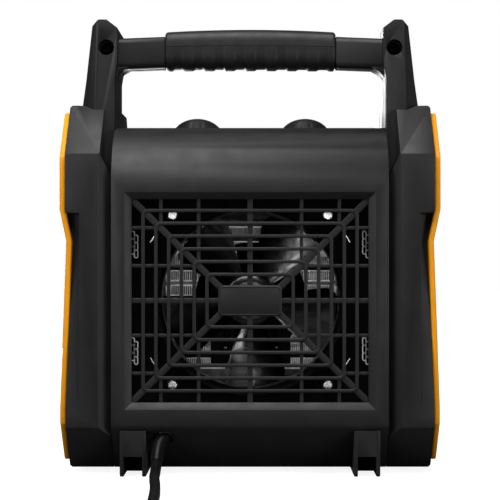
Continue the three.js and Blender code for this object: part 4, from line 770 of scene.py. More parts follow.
# Drawn flat with local z to the rear and local y down, about the fan's axis.
partition = [(-0.0899, 0.1093), (-0.0899, -0.1063), (-0.084, -0.1118), (0.084, -0.1118), (0.0899, -0.1063),
             (0.0899, 0.1093), (0.0662, 0.1093), (0.0662, 0.0756), (0.0482, 0.0756), (0.0482, 0.1093)]
# Painted shade: the partition is near black with almost no sheen, darker than the casing.
chamber_black = moulded_plastic("chamber_black", (0.001, 0.001, 0.001), (0.0015, 0.0015, 0.0015), 0.7,
                                gloss=0.08)
throat = [(THROAT + out, level) for out, level in [
    (0.0, 0.0587), (0.0, 0.0850), (0.0004, 0.0866), (0.0014, 0.0879), (0.0028, 0.0885), (0.0033, 0.0880),
    (0.0024, 0.0868), (THROAT_WALL, 0.0850), (THROAT_WALL, 0.0587)]]
standoff = [(0.0022, 0.0428), (0.0050, 0.0428), (0.0052, PARTITION_FRONT), (0.0052, 0.0757), (0.0022, 0.0757)]
plate = flat_sheet([partition, ring_of(THROAT, 96, (0.0, 0.0))], lambda x, y: (x, y, PARTITION_FRONT),
                   (0, 0, PARTITION_REAR - PARTITION_FRONT))
shroud_shapes = [plate, turned(throat, 120)]
shroud_shapes += [turned(standoff, 28, Matrix.Translation((x, FAN_AXIS - z, 0.0))) for x, z in SCREW_SPOTS]
dress(welded("fan_partition", [meshed(shape, face_rear) for shape in shroud_shapes], chamber_black),
      "root", "black_plastic", "fan_shroud")

# ---------------------------------------------------------------- shroud screws and clamps
# Zinc-plated pan-head screws hold the partition. Beside each, the lip of a bright steel clip that follows
# the throat stands out of the partition.
CLAMP_REACH, SCREW_SEAT = 0.0786, 0.0764


def metal(name, dark, light, rough, brushed=(1.0, 1.0, 1.0), depth=0.00001, scale=700.0):
    """Bare or plated metal: two tones, streaks drawn out across the way it was rolled or brushed."""
    def inputs(tree):
        """What the shader takes: the same streaks in its roughness and its relief."""
        streaks = cloud(tree, scale, 3.0, brushed)
        return {"Metallic": 1.0, "Base Color": shades(tree, cloud(tree, 160.0, 3.0), dark, light),
                "Roughness": spread(tree, streaks, rough - 0.06, rough + 0.08),
                "Normal": relief(tree, streaks, depth)}

    return glossy(name, inputs)


zinc = metal("zinc_plate", (0.50, 0.50, 0.49), (0.85, 0.85, 0.83), 0.2)
for k, number in enumerate((1, 3, 2, 4)):
    node = f"shroud_screw_{number}"
    middle = sum(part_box(node), Vector()) / 2
    fixing = screws("partition_" + node, [(middle.x, SCREW_SEAT, middle.z)], zinc, head=0.0042, span=0.0058,
                    blade=0.0014, sunk=0.0019, seed=11 + 3 * k)
    dress(fixing, "root", "steel", node)
clamp_parts = []
for sx in (1, -1):
    for sz in (1, -1):
        sections = []
        for j in range(9):
            across, up = around(1.0, math.radians(30 + 7.5 * j / 8))
            slim = 0.0003 if j in (0, 8) else 0.0006
            section = [(CLAMP_REACH + out * slim, PARTITION_REAR + rise) for out, rise in [
                (-1, 0.0), (-1, 0.0010), (-0.5, 0.0014), (0.5, 0.0014), (1, 0.0010), (1, 0.0)]]
            sections.append([(sx * reach * across, -sz * reach * up, level) for reach, level in section])
        clamp_parts.append(meshed(lofted(sections), face_rear))
dress(welded("throat_clamps", clamp_parts, zinc), "root", "steel")

# ---------------------------------------------------------------- side lattices
# Narrow strips of bright expanded metal stand over the vents at both sides of the partition. Each strip
# is two columns of long open meshes.
CELL_WIDE, CELL_TALL, LATTICE_Y = 0.0023, 0.0052, 0.0770

lattice_tree, given, add = recipe("lattice", cell_wide=0.0022, cell_tall=0.0056, wire=0.0006, thick=0.0008)
cell = add("GeometryNodeCurvePrimitiveQuadrilateral", {"Width": given["cell_wide"],
                                                       "Height": given["cell_tall"]})
cell_round = rounded(add, cell, 3, share(add, given["cell_wide"], 0.48))
cell_up = add("GeometryNodeSetCurveNormal", {"Curve": cell_round}, mode="Z_UP")
strand = add("GeometryNodeCurvePrimitiveQuadrilateral", {"Width": given["wire"], "Height": given["thick"]})
cell_mesh = add("GeometryNodeCurveToMesh", {"Curve": cell_up, "Profile Curve": strand})
end_recipe(add, given, at_spots(add, given, cell_mesh))

lattice_metal = metal("bright_lattice", (0.80, 0.80, 0.80), (0.95, 0.95, 0.95), 0.42)
staggered = [(side * CELL_WIDE / 2, CELL_TALL * (row + 0.25 * side), 0.0)
             for side in (-1, 1) for row in (-1, 0, 1)]
lattice_parts = [grown(lattice_tree, (staggered, []), lattice_metal,
                       Matrix.Translation((x, LATTICE_Y, z)) @ UPRIGHT,
                       cell_wide=CELL_WIDE, cell_tall=CELL_TALL, wire=0.0007, thick=0.0012)
                 for x in (0.0789, -0.0789) for z in (0.1552, 0.0826)]
dress(welded("side_lattices", lattice_parts), "root", "aluminium")

# ---------------------------------------------------------------- fan impeller
# Five broad twisted blades and their hub are one moulding of glossy black nylon, coloured darker than
# the casing as painted shade of the deep chamber. The hub is hollow towards the motor and is pressed on the
# shaft.
BLADE_COUNT, BLADE_ROOT, BLADE_TIP, BLADE_THICK = 5, 0.0178, 0.059, 0.0011
HUB, HUB_WALL = 0.019, 0.0166
FAN_TURN, FAN_MIDDLE_Y = math.radians(40.25), 0.0735
at_fan = Matrix.Translation((0.0, FAN_MIDDLE_Y, FAN_AXIS))


def blade(turn):
    """One blade, from inside the hub to the tip: thickest near the middle, cambered and twisted."""
    sections = []
    for j in range(15):
        part = j / 14
        reach = BLADE_ROOT + (BLADE_TIP - BLADE_ROOT) * part
        pitch = -math.tan(math.radians(45 - 13 * part))
        half = 0.40 + 0.02 * math.sin(math.pi * part)
        round_off = 1.0 - (max(0.0, part - 0.86) / 0.14) ** 2 * 0.16
        ring = []
        for k in list(range(17)) + [-i for i in range(15, 0, -1)]:
            across = math.sin(math.pi / 2 * (abs(k) / 8 - 1)) * round_off
            thick = BLADE_THICK * math.sqrt(max(0.0, 1 - across ** 4)) * (1 - 0.35 * part) + 0.00008
            axial = pitch * reach * half * across + 0.0016 * (1 - across * across) - 0.0006
            if k not in (0, 16):
                axial += math.copysign(thick, k)
            z, x = around(reach, turn + half * across - 0.02 * part)
            ring.append((x, axial, z))
        sections.append(ring)
    return lofted(sections)


# Black nylon, its colour darkened below the casing's as painted shade of the chamber.
fan_black = moulded_plastic("fan_black", (0.0030, 0.0029, 0.0028), (0.0042, 0.004, 0.0038), 0.2, 60.0,
                            0.00001, 0.9)
hub_outline = [(0.0, 0.012), (0.0125, 0.012), (0.0150, 0.0117), (0.0171, 0.0107), (0.0184, 0.0091),
               (HUB, 0.0068), (HUB, -0.0100), (HUB_WALL, -0.0100), (HUB_WALL, 0.0082), (0.0062, 0.0082),
               (0.0062, -0.0090), (0.0028, -0.0090), (0.0028, 0.0058), (0.0, 0.0058)]
fan_parts = [meshed(turned(hub_outline, 72, at_fan @ REARWARD))]
fan_parts += [meshed(blade(FAN_TURN + 2 * math.pi * k / BLADE_COUNT), at_fan) for k in range(BLADE_COUNT)]
dress(welded("impeller", fan_parts, fan_black, 40.0), "fan", "black_plastic", "fan_impeller")

# ---------------------------------------------------------------- fan motor
# A shaded-pole motor drives the fan: a stack of thin steel laminations with a taped winding on its lower
# leg, a rotor of cast cage and laminations, and two steel brackets with sintered bronze bushes. The stack,
# brackets and strap take a black varnish whose near-black colour with little sheen is also painted shade of
# the deep chamber.
STACK_SHEETS, STACK_PITCH, STACK_START = 27, 0.00074, 0.01665
BOLT_X = 0.023

galvanised = metal("galvanised_sheet", (0.13, 0.135, 0.14), (0.24, 0.245, 0.25), 0.45, scale=260.0)
# Near black with little sheen: varnish colour and painted shade of the chamber's depth.
varnished = moulded_plastic("motor_varnish", (0.002, 0.0019, 0.0019), (0.0045, 0.0042, 0.004), 0.5, 1400.0,
                            0.00002, 0.12)
lamination_steel = metal("lamination_steel", (0.10, 0.10, 0.105), (0.17, 0.17, 0.175), 0.5, (1.0, 14.0, 1.0))
bronze = metal("sintered_bronze", (0.20, 0.12, 0.05), (0.32, 0.19, 0.08), 0.5, depth=0.00003, scale=2600.0)
ground_steel = metal("ground_steel", (0.36, 0.36, 0.37), (0.48, 0.48, 0.49), 0.28, (1.0, 30.0, 1.0))

# Lays copies of a flat sheet, given as the guide, one behind another along Y.
stack_tree, given, add = recipe("sheet_stack", pitch=0.0007, count=27)
end_recipe(add, given, row_of(add, given, "Y", given["Guide"]))


def lamination(outline, holes, thick):
    """A sheet of a given thickness facing the rear, from pairs about the fan's axis."""
    return meshed(flat_sheet([outline, *holes], lambda x, z: (x, 0.0, z), (0, thick, 0)))


def bolt_holes(radius):
    """The stack's two bolt holes, at the level of the axis."""
    return [ring_of(radius, 16, (side * BOLT_X, FAN_AXIS)) for side in (-1, 1)]


window = [(x, FAN_AXIS + z) for x, z in [
    (-0.019, -0.036), (0.019, -0.036), (0.019, -0.019), (-0.019, -0.019)]]
stack_outline = [(x, FAN_AXIS + z) for x, z in [
    (-0.0272, -0.046), (0.0272, -0.046), (0.028, -0.0452), (0.028, 0.0185), (0.0265, 0.020), (-0.0265, 0.020),
    (-0.028, 0.0185), (-0.028, -0.0452)]]
sheet = lamination(stack_outline, [window, ring_of(0.0146, 56), *bolt_holes(0.0023)], 0.0005)
stack = grown(stack_tree, sheet, varnished, Matrix.Translation((0.0, STACK_START, 0.0)), pitch=STACK_PITCH,
              count=STACK_SHEETS)
# A slightly smaller core fills the gaps between the sheets.
core = lamination([(x * 0.985, FAN_AXIS - 0.013 + (z - FAN_AXIS + 0.013) * 0.988) for x, z in stack_outline],
                  [[(x * 1.02, z + (0.0003 if z > FAN_AXIS - 0.02 else -0.0003)) for x, z in window],
                   ring_of(0.0150, 56), *bolt_holes(0.0026)], STACK_SHEETS * STACK_PITCH - 0.0004)
core.transform(Matrix.Translation((0.0, STACK_START + 0.0001, 0.0)))
dress(welded("stator_stack", [stack, core], varnished), "root", "black_steel", "motor_stator")

# ---------------------------------------------------------------- winding
# Enamelled copper wire on a nylon bobbin, wrapped in tape: round ridges of wire show through the
# tape, and the bobbin's cheeks close both ends. The tape's dark brown colour is painted shade of the deep
# chamber.
WIND_LOW, WIND_HIGH, WIND_FRONT, WIND_REAR = 0.0692, 0.0965, 0.0124, 0.0406
WIND_PITCH, WIND_COUNT, COIL_MIDDLE_Y = 0.00256, 12, 0.0265

# Painted shade: the tape is coloured dark brown to keep the winding dark in the chamber.
tape_dark = moulded_plastic("winding_tape", (0.005, 0.0035, 0.003), (0.012, 0.008, 0.006), 0.5, 2400.0,
                            0.00003)
# Round wires along a closed guide with rounded corners, in a row along X.
wind_tree, given, add = recipe("winding", wire=0.0006, pitch=0.0012, count=11, corner=0.003)
turn_round = rounded(add, add("GeometryNodeMeshToCurve", {0: given["Guide"]}), 4, given["corner"])
wire_round = add("GeometryNodeCurvePrimitiveCircle", {"Resolution": 8, "Radius": given["wire"]})
one_turn = add("GeometryNodeCurveToMesh", {"Curve": turn_round, "Profile Curve": wire_round})
end_recipe(add, given, row_of(add, given, "X", one_turn))

wind_guide = chain([(0.0, WIND_FRONT, WIND_LOW), (0.0, WIND_REAR, WIND_LOW), (0.0, WIND_REAR, WIND_HIGH),
                    (0.0, WIND_FRONT, WIND_HIGH)], True)
coil_parts = [grown(wind_tree, wind_guide, tape_dark, Matrix.Translation((-0.0141, 0.0, 0.0)), wire=0.00072,
                    pitch=WIND_PITCH, count=WIND_COUNT, corner=0.0035)]
for cheek_x in (0.0, -0.0163, 0.0163):
    made = object_of(cad_copy("motor_coil"), "coil", tape_dark)
    for corner in made.data.vertices:
        if cheek_x:
            corner.co.x = cheek_x + math.copysign(0.0006, corner.co.x)
        else:
            corner.co.x *= 0.90
            corner.co.y = COIL_MIDDLE_Y + (corner.co.y - COIL_MIDDLE_Y) * 0.93
    coil_parts.append(settled(eased(made, 0.0004, 2) if cheek_x else eased(made, 0.0016, 3)).data)
    bpy.data.objects.remove(made)
dress(welded("motor_winding", coil_parts, tape_dark, 40.0), "root", "copper", "motor_coil")

# ---------------------------------------------------------------- rotor, shaft, brackets and bushes
# The rotor's skewed bars show as fine slanted lines between two cast end rings. The shaft is ground
# steel; the brackets are screwed to the stack and hold ball-shaped bushes.
ROTOR_BARS, BAR_HALF_TURN = 26, 0.035


def lathed(name, outline, sides, finish, place=face_rear):
    """A lathe piece, about the fan's axis unless it is placed; its outline holds (radius, y)."""
    return welded(name, [meshed(turned(outline, sides, place))], finish)


rotor_line = [(0.0030, 0.0170), (0.0122, 0.0170), (0.0132, 0.0174), (0.0137, 0.0190), (0.0137, 0.0340),
              (0.0132, 0.0356), (0.0122, 0.0360), (0.0030, 0.0360)]
rotor_parts = [meshed(turned(rotor_line, 64, face_rear))]
for k in range(ROTOR_BARS):
    rail = []
    for y, twist in ((0.0192, 0.0), (0.0265, 0.12), (0.0338, 0.24)):
        ring = []
        for reach, side in ((0.0130, -1), (0.01395, -1), (0.01395, 1), (0.0130, 1)):
            z, x = around(reach, 2 * math.pi * k / ROTOR_BARS + twist + side * BAR_HALF_TURN)
            ring.append((x, y, FAN_AXIS + z))
        rail.append(ring)
    rotor_parts.append(meshed(lofted(rail)))
dress(welded("rotor_cage", rotor_parts, lamination_steel), "fan", "galvanised", "motor_rotor")

shaft_line = [(0.0, 0.0055), (0.0020, 0.0055), (0.0025, 0.0060), (0.0025, 0.0786), (0.0021, 0.0791),
              (0.0, 0.0791)]
dress(lathed("shaft_rod", shaft_line, 28, ground_steel), "fan", "steel", "motor_shaft")

for end in ("rear", "front"):
    cad_piece("bearing_bracket_" + end, end + "_bracket", varnished, "black_steel", 0.0008, 3)
    low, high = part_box("bearing_bush_" + end)
    bush_line = [(0.0029, low.y + 0.0004), (0.0034, low.y), (0.0052, low.y), (0.0058, low.y + 0.0010),
                 (0.0060, (low.y + high.y) / 2), (0.0058, high.y - 0.0010), (0.0052, high.y), (0.0034, high.y),
                 (0.0029, high.y - 0.0004)]
    dress(lathed(end + "_bush", bush_line, 36, bronze), "root", "bronze", "bearing_bush_" + end)

# ---------------------------------------------------------------- strap and heat shield
# A varnished sheet strap carries the motor between the walls of the duct; like the stack, its near-black
# colour is partly painted shade.
# The round shield in front of it has a beaded rim and keeps the modules' heat off the winding; its near-black
# coat with almost no sheen is painted shade that darkens the middle of the chamber behind the fan.
cad_piece("motor_strap", "motor_carrier", varnished, "black_steel", 0.0005)
# Painted shade: the shield's coat is near black with almost no sheen, to darken the chamber's middle.
shield_black = moulded_plastic("shield_coat", (0.001, 0.001, 0.001), (0.0018, 0.0018, 0.0018), 0.7, 1900.0,
                               0.00003, 0.08)
shield_line = [(0.0036, 0.00545), (0.0036, 0.00635), (0.0300, 0.00635), (0.0310, 0.0062), (0.0330, 0.0062),
               (0.0340, 0.00635), (0.0390, 0.00640), (0.0397, 0.00625), (0.0400, 0.0059), (0.0397, 0.00555),
               (0.0390, 0.0054), (0.0340, 0.0054), (0.0330, 0.00545), (0.0310, 0.00545), (0.0300, 0.00545)]
dress(lathed("motor_shield", shield_line, 96, shield_black), "root", "black_steel", "heat_shield")

# ---------------------------------------------------------------- heater duct and rails
# Thin galvanised sheet, folded to a box that leads the air through the modules, with spot-welded
# flanges. Moulded rails of heat-resistant plastic at both sides hold the ends of the modules.
cad_piece("heater_duct", "air_duct", galvanised, "galvanised", 0.0004)
rail_white = moulded_plastic("rail_white", (0.42, 0.40, 0.35), (0.50, 0.48, 0.42), 0.55, 1300.0, 0.00003)
for side in ("left", "right"):
    cad_piece("heater_rail_" + side, "module_rail_" + side, rail_white, "white_plastic", 0.0005)

# ---------------------------------------------------------------- heating modules
# Five PTC ceramic bars in dark insulating film. On each, corrugated aluminium fins 0.55 mm thick are
# glued above and below between thin contact strips.
MODULE_COUNT = 5
FIN_HALF, FIN_PITCH, FIN_SHEET, FIN_DEPTH = 0.0606, 0.0030, 0.00055, 0.0200
BAR_THICK, STRIP_THICK, FIN_TALL = 0.0026, 0.0007, 0.0066
MODULE_HALF, MODULE_MIDDLE = 0.0110, -0.0085


def fin_inputs(tree):
    """Bare aluminium whose cut edges stay bright while the folds inside are darkened: painted shade deeper
    between the fins.
    """
    place = step(tree, "ShaderNodeTexCoord").outputs["Object"]
    along = step(tree, "ShaderNodeSeparateXYZ", {0: place}).outputs["Y"]
    from_middle = step(tree, "ShaderNodeMath", {0: along, 1: MODULE_MIDDLE}, operation="SUBTRACT")
    depth = step(tree, "ShaderNodeMath", {0: from_middle}, operation="ABSOLUTE")
    # Painted shade mask: 1 at the fins' cut faces, falling to 0 a millimetre inside, where the fins shade each
    # other.
    edge = step(tree, "ShaderNodeMapRange", {"Value": depth, "From Min": FIN_DEPTH / 2 - 0.0011,
                                             "From Max": FIN_DEPTH / 2 - 0.0002})
    streaks = cloud(tree, 700.0, 3.0, (1.0, 8.0, 1.0))
    return {"Metallic": 1.0,
            "Base Color": shades(tree, edge, (0.02, 0.02, 0.021), (0.95, 0.95, 0.95), 0.0, 1.0),
            "Roughness": spread(tree, streaks, 0.28, 0.42), "Normal": relief(tree, streaks, 0.00001)}


fin_aluminium = glossy("fin_aluminium", fin_inputs)
film_dark = moulded_plastic("insulating_film", (0.010, 0.008, 0.007), (0.022, 0.016, 0.012), 0.35, 900.0,
                            0.00002)

# The corrugation is drawn flat along x and y, then stood up to face the rear.
wave = []
for k in range(int(2 * FIN_HALF / FIN_PITCH)):
    x = -FIN_HALF + k * FIN_PITCH
    wave += [(x, 0.0, 0.0), (x, FIN_TALL, 0.0),
             (x + FIN_PITCH / 2, FIN_TALL, 0.0), (x + FIN_PITCH / 2, 0.0, 0.0)]
fin_row = grown(bar_tree, chain(wave), fin_aluminium, UPRIGHT, width=FIN_SHEET, depth=FIN_DEPTH,
                corner=0.00045, edge=0.00002)
for k in range(MODULE_COUNT):
    node = f"heater_module_{k + 1}"
    middle_z = sum(corner.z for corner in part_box(node)) / 2
    bar = rounded_box(0.0659, MODULE_HALF - 0.0001, 0.0008, -BAR_THICK / 2, BAR_THICK / 2, 2)
    layers = [(meshed(bar), 0.0)]
    for side in (1, -1):
        for level in (BAR_THICK / 2 + STRIP_THICK / 2, BAR_THICK / 2 + 1.5 * STRIP_THICK + FIN_TALL):
            strip = rounded_box(0.0618, 0.0101, 0.0006, -STRIP_THICK / 2, STRIP_THICK / 2, 1)
            layers.append((meshed(strip), side * level))
        layers.append((fin_row.copy(), BAR_THICK / 2 + STRIP_THICK if side > 0
                       else -BAR_THICK / 2 - STRIP_THICK - FIN_TALL))
    shape = bmesh.new()
    for mesh, level in layers:
        mesh.transform(Matrix.Translation((0.0, MODULE_MIDDLE, middle_z + level)))
        first = len(shape.faces)
        shape.from_mesh(mesh)
        shape.faces.ensure_lookup_table()
        for face in shape.faces[first:]:
            face.material_index = 1 if first else 0
    joined = meshed(shape)
    joined.name = f"fin_module_{k + 1}"
    for finish in (film_dark, fin_aluminium):
        joined.materials.append(finish)
    joined.set_sharp_from_angle(angle=math.radians(35))
    dress(new_object(joined.name, joined), "root", "aluminium", node)

# ---------------------------------------------------------------- cut-outs, terminals and lead
# A bimetal cut-out and a thermal fuse sit on the duct, and the lead from the cord ends in a ceramic
# terminal block on the casing floor, with three brass screws.
ceramic = moulded_plastic("ceramic_white", (0.50, 0.48, 0.43), (0.60, 0.58, 0.52), 0.35, 800.0, 0.00002)
low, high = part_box("thermal_cutout")
disc_line = [(0.0, 0.0), (0.0078, 0.0), (0.0080, 0.0004), (0.0080, 0.0052), (0.0072, 0.0060),
             (0.0060, 0.0064), (0.0, 0.0066)]
cutout_spot = Matrix.Translation(((low.x + high.x) / 2, (low.y + high.y) / 2, low.z))
ear = rounded_box((high.x - low.x) / 2 - 0.0001, 0.0039, 0.0038, 0.0, 0.0012, 6)
cutout_parts = [meshed(turned(disc_line, 48, cutout_spot)), meshed(ear, cutout_spot)]
for x in (-0.003, 0.003):
    tab = rounded_box(0.0008, 0.0018, 0.0003, 0.0060, high.z - low.z - 0.0001, 2)
    cutout_parts.append(meshed(tab, cutout_spot @ Matrix.Translation((x, 0.0, 0.0))))
dress(welded("bimetal_cutout", cutout_parts, ceramic), "root", "white_plastic", "thermal_cutout")

low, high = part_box("thermal_fuse")
fuse_line = [(0.0, 0.0), (0.0007, 0.0), (0.0007, 0.0028), (0.0019, 0.0032), (0.00215, 0.0038),
             (0.00215, 0.0142), (0.0019, 0.0148), (0.0007, 0.0152), (0.0007, 0.0180), (0.0, 0.0180)]
fuse_spot = (Matrix.Translation((low.x, (low.y + high.y) / 2, (low.z + high.z) / 2))
             @ Matrix.Rotation(math.pi / 2, 4, "Y"))
dress(lathed("fuse_can", fuse_line, 24, ground_steel, fuse_spot), "root", "steel", "thermal_fuse")

cad_piece("terminal_block", "terminal_ceramic", ceramic, "white_plastic", 0.0006)
low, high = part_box("terminal_block")
tops = [((low.x + high.x) / 2 + shift, (low.y + high.y) / 2, high.z - 0.0040)
        for shift in (-0.010, 0.0, 0.010)]
brass = metal("brass_terminal", (0.42, 0.30, 0.10), (0.55, 0.40, 0.15), 0.32)
terminals = grown(screw_tree, (tops, []), brass, head=0.0026, height=0.0018, shank=0.0012, length=0.0016,
                  span=0.0036, blade=0.0007, sunk=0.0010, seed=21)
dress(welded("terminal_screws", [terminals], brass, 28.0), "root", "steel")

cord_black = soft_rubber("cord_black", (0.0018, 0.0018, 0.0018), (0.0028, 0.0028, 0.0028), 0.34, 900.0,
                         0.00001, 0.14)
cad_piece("inner_lead", "supply_lead", cord_black, "cord_rubber", 0.0003, smooth=60.0)

# ---------------------------------------------------------------- tilt switch
# A zinc-plated steel bob hangs in a bracket of folded galvanised sheet and swings on a rivet when the
# heater falls over.
cad_piece("tilt_switch_bracket", "tilt_bracket", galvanised, "galvanised", 0.0)
cad_piece("tilt_switch_weight", "tilt_bob", zinc, "steel", 0.0007, 3, body="tilt_weight")

# ---------------------------------------------------------------- control panel
# A black ABS plate on the front slope. Its scales, a row of fine strokes and a few broader ones, are
# printed in pale grey around the knobs and stand just proud of the plate.
KNOB_X, KNOB_Y = 0.0411, -0.0205
MARK_REACH, MARK_TOP = 0.0228, -0.0085
on_slope = Matrix.Translation((0.0, -0.0455, 0.2363)) @ Matrix.Rotation(math.pi / 4, 4, "X")

cad_piece("control_panel", "control_plate", casing_black, "black_plastic", 0.0005)

mark_print = moulded_plastic("pale_print", (0.50, 0.50, 0.49), (0.62, 0.62, 0.60), 0.5, 2200.0, 0.00001)
# Sets a stroke at every point of the guide, turned towards the middle of the scale.
mark_tree, given, add = recipe("dial_marks", broad=0.0007, long=0.0026, thick=0.00018, middle=0.0411)
size = add("ShaderNodeCombineXYZ", {"X": given["broad"], "Y": given["long"], "Z": given["thick"]})
stroke = add("GeometryNodeMeshCube", {"Size": size})
centre = add("ShaderNodeCombineXYZ", {"X": given["middle"], "Y": KNOB_Y})
away = add("ShaderNodeVectorMath", {0: add("GeometryNodeInputPosition"), 1: centre}, operation="SUBTRACT")
facing = add("FunctionNodeAlignRotationToVector", {"Vector": away}, axis="Y", pivot_axis="Z")
end_recipe(add, given, at_spots(add, given, stroke, facing))
# Each scale has its knob's place, its first and last angle from the foot and its count of strokes.
mark_parts = []
for x, first, last, count, broad in ((KNOB_X, -90, 180, 19, 0.0005), (-KNOB_X, -90, 45, 4, 0.0008)):
    arc = []
    for k in range(count):
        across, up = around(MARK_REACH, math.radians(-(first + (last - first) * k / (count - 1))))
        if KNOB_Y + up < MARK_TOP:
            arc.append((x + across, KNOB_Y + up, 0.0001))
    mark_parts.append(grown(mark_tree, (arc, []), mark_print, on_slope, middle=x, broad=broad))
dress(welded("dial_marks", mark_parts), "root", "white_plastic")

lens_red = moulded_plastic("lens_red", (0.42, 0.012, 0.006), (0.5, 0.02, 0.01), 0.12, 300.0, 0.000005)
lens_line = [(0.0, -0.0055), (0.0042, -0.0055), (0.0045, -0.0052), (0.0045, -0.0029), (0.0030, -0.0028),
             (0.0030, 0.0001), (0.0027, 0.0005), (0.0016, 0.00075), (0.0, 0.0008)]
lens_spot = on_slope @ Matrix.Translation((0.0, KNOB_Y, 0.0))
dress(lathed("pilot_window", lens_line, 40, lens_red, lens_spot), "root", "lens_red", "pilot_lens")

# ---------------------------------------------------------------- knobs
# Hollow black ABS knobs with a domed top and shallow flutes for the fingers. A pale pointer is inlaid in
# the top, and a boss inside takes the control's plated shaft.
FLUTES, FLUTE_DEPTH, FLUTE_LOW, FLUTE_HIGH = 16, 0.00045, 0.0050, 0.0170
KNOB_R, KNOB_TOP = 0.0201, 0.0259

knob_black = moulded_plastic("knob_black", (0.0085, 0.0085, 0.0088), (0.0105, 0.0105, 0.0108), 0.42)
knob_line = [(0.0, 0.0172), (0.0033, 0.0172), (0.0033, 0.0012), (0.0060, 0.0012), (0.0060, 0.0193),
             (0.0160, 0.0193), (0.0160, 0.0012), (0.0192, 0.0010),
             (KNOB_R, 0.0013), (KNOB_R, 0.0040), (KNOB_R, 0.0060),
             (KNOB_R, 0.0160), (KNOB_R, 0.0185), (KNOB_R, 0.0221), (0.0199, 0.0228), (0.0194, 0.0234),
             (0.0185, 0.0240), (0.0168, 0.0246), (0.0135, 0.0253), (0.0080, 0.0257), (0.0, KNOB_TOP)]
stem_line = [(0.0, -0.0180), (0.0027, -0.0180), (0.0030, -0.0177), (0.0030, 0.0160), (0.0026, 0.0167),
             (0.0, 0.0167)]
for label, x in (("thermostat", KNOB_X), ("mode", -KNOB_X)):
    body = label + "_control"
    shape = turned(knob_line, 192)
    for corner in shape.verts:
        reach = math.hypot(corner.co.x, corner.co.y)
        if reach > KNOB_R - 0.0001 and FLUTE_LOW < corner.co.z < FLUTE_HIGH:
            wave = 0.5 - 0.5 * math.cos(FLUTES * math.atan2(corner.co.y, corner.co.x))
            corner.co.xy *= 1 - FLUTE_DEPTH * wave ** 4 / reach
    at_knob = on_slope @ Matrix.Translation((x, KNOB_Y, 0.0))
    dial = welded(label + "_dial", [meshed(shape, at_knob)], knob_black, 32.0)
    dress(dial, body, "black_plastic", label + "_knob")
    pointer = meshed(rounded_box(0.0009, 0.0043, 0.0008, KNOB_TOP - 0.0008, KNOB_TOP + 0.0003, 4),
                     at_knob @ Matrix.Translation((0.0, 0.0090, 0.0)))
    dress(welded(label + "_pointer", [pointer], mark_print), body, "white_plastic")
    dress(lathed(label + "_stem", stem_line, 32, ground_steel, at_knob), body, "steel", label + "_shaft")

# ---------------------------------------------------------------- thermostat and mode switch
# The controls' bodies are of heat-resistant white plastic. They sit behind the panel, their shafts pass
# through it to the knobs, and the mode switch has three flat terminals.
for node, name in (("thermostat_body", "thermostat_case"), ("mode_switch_body", "switch_case")):
    cad_piece(node, name, ceramic, "white_plastic", 0.0006)

# ---------------------------------------------------------------- feet
# Black rubber feet in the undercuts at the drum's four lower corners. Each is one moulding: two fins with
# a plate between them and a full-width sole.
foot_black = soft_rubber("foot_black", (0.0065, 0.0065, 0.0068), (0.0085, 0.0085, 0.0088), 0.6, 1500.0,
                         0.00004)
for end in ("rear", "front"):
    for side in ("left", "right"):
        node = f"{end}_foot_{side}"
        cad_piece(node, node + "_rubber", foot_black, "grip_rubber", 0.0006)

# ---------------------------------------------------------------- strain relief
# A PVC bush clipped in the undercut, with a thin round flange and a short smooth boot on the cord, which
# bends aside and down as it leaves.
boot_way = [Vector((57.2, 95.3, 25.6)) / 1000, *cord_way[:4], Vector((61.7, 112.1, 10.9)) / 1000]
gland_turn = Matrix.Translation(boot_way[0]) @ Matrix.Rotation(-math.radians(135), 4, "X")
gland_line = [(0.0, -0.0084), (0.0056, -0.0084), (0.0059, -0.0080), (0.0059, 0.0002), (0.0064, 0.0002),
              (0.0066, 0.0005), (0.0064, 0.0010), (0.0050, 0.0011), (0.0046, -0.0006), (0.0, -0.0008)]
relief_parts = [meshed(turned(gland_line, 40, gland_turn))]
# Sweeps a round tube along the guide, smoothly bent and narrowing towards its end.
boot_tree, given, add = recipe("tapered_boot", thick=0.0042, last=0.92, bend=0.006)
bent = rounded(add, add("GeometryNodeMeshToCurve", {0: given["Guide"]}), 4, given["bend"])
along = add("GeometryNodeSplineParameter").outputs["Factor"]
size = add("ShaderNodeMapRange", {"Value": along, "To Min": 1.0, "To Max": given["last"]})
sized = add("GeometryNodeSetCurveRadius", {"Curve": bent, "Radius": size})
tube = add("GeometryNodeCurvePrimitiveCircle", {"Resolution": 24, "Radius": given["thick"]})
end_recipe(add, given, add("GeometryNodeCurveToMesh", {"Curve": sized, "Profile Curve": tube, "Scale": size,
                                                       "Fill Caps": True}))
relief_parts.append(grown(boot_tree, chain([tuple(spot) for spot in boot_way]), cord_black))
dress(welded("relief_boot", relief_parts, cord_black, 40.0), "root", "cord_rubber", "strain_relief")

# ---------------------------------------------------------------- plug
# A PVC plug moulded around the end of the cord, with a waisted grip. Two flat blades and an earth pin of
# nickel-plated brass stand in its face.
PLUG_MIDDLE = Vector((0.048, 0.0, 0.0126))
PLUG_FACE = 0.4570


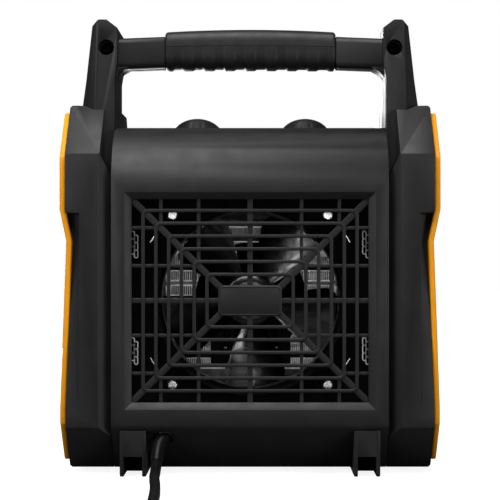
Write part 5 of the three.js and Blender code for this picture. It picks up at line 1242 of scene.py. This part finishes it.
def plug_section(y, half_x, half_z, power):
    """The plug's section at a place along it."""
    spots = [squircle(2 * math.pi * j / 32, power) for j in range(32)]
    return [(PLUG_MIDDLE.x + half_x * x, y, PLUG_MIDDLE.z + half_z * z) for x, z in spots]


def in_plug(x, z):
    """A place in the plug's face with local z along the blades."""
    return Matrix.Translation(PLUG_MIDDLE + Vector((x, 0.0, z))) @ REARWARD


plug_shape = lofted([plug_section(*size) for size in [
    (0.4116, 0.0042, 0.0042, 2.0), (0.4120, 0.0046, 0.0046, 2.0), (0.4200, 0.0056, 0.0055, 2.0),
    (0.4265, 0.0072, 0.0070, 2.1), (0.4285, 0.0098, 0.0092, 2.6), (0.4310, 0.0116, 0.0110, 3.2),
    (0.4350, 0.0121, 0.0116, 3.6), (0.4390, 0.0114, 0.0114, 3.8), (0.4440, 0.0112, 0.0114, 4.0),
    (0.4490, 0.0118, 0.0118, 4.4), (0.4530, 0.0128, 0.0122, 5.0), (0.4560, 0.0129, 0.0123, 5.5),
    (0.4572, 0.0126, 0.0120, 5.5), (0.4575, 0.0120, 0.0114, 5.5)]])
dress(welded("plug_moulding", [meshed(plug_shape)], cord_black, 40.0), "root", "cord_rubber", "mains_plug")
nickel = metal("nickel_plate", (0.52, 0.50, 0.46), (0.66, 0.64, 0.60), 0.22)
prong_parts = [meshed(rounded_box(0.00075, 0.0031, 0.0005, PLUG_FACE, 0.4735, 2),
                      in_plug(side * 0.00635, 0.00315)) for side in (-1, 1)]
pin_line = [(0.0, PLUG_FACE), (0.0024, PLUG_FACE), (0.0024, 0.4740), (0.0019, 0.4757), (0.0010, 0.4764),
            (0.0, 0.4765)]
prong_parts.append(meshed(turned(pin_line, 28, in_plug(0.0, -0.0088))))
dress(welded("plug_prongs", prong_parts, nickel), "root", "steel")

# ---------------------------------------------------------------- cord ends
# The cord's black PVC sheath runs from the strain relief to the plug. The boot and the plug are moulded on it.
cord_curve.materials.append(cord_black)
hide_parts("mains_cord", "cord_coil")
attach(cord, "root")
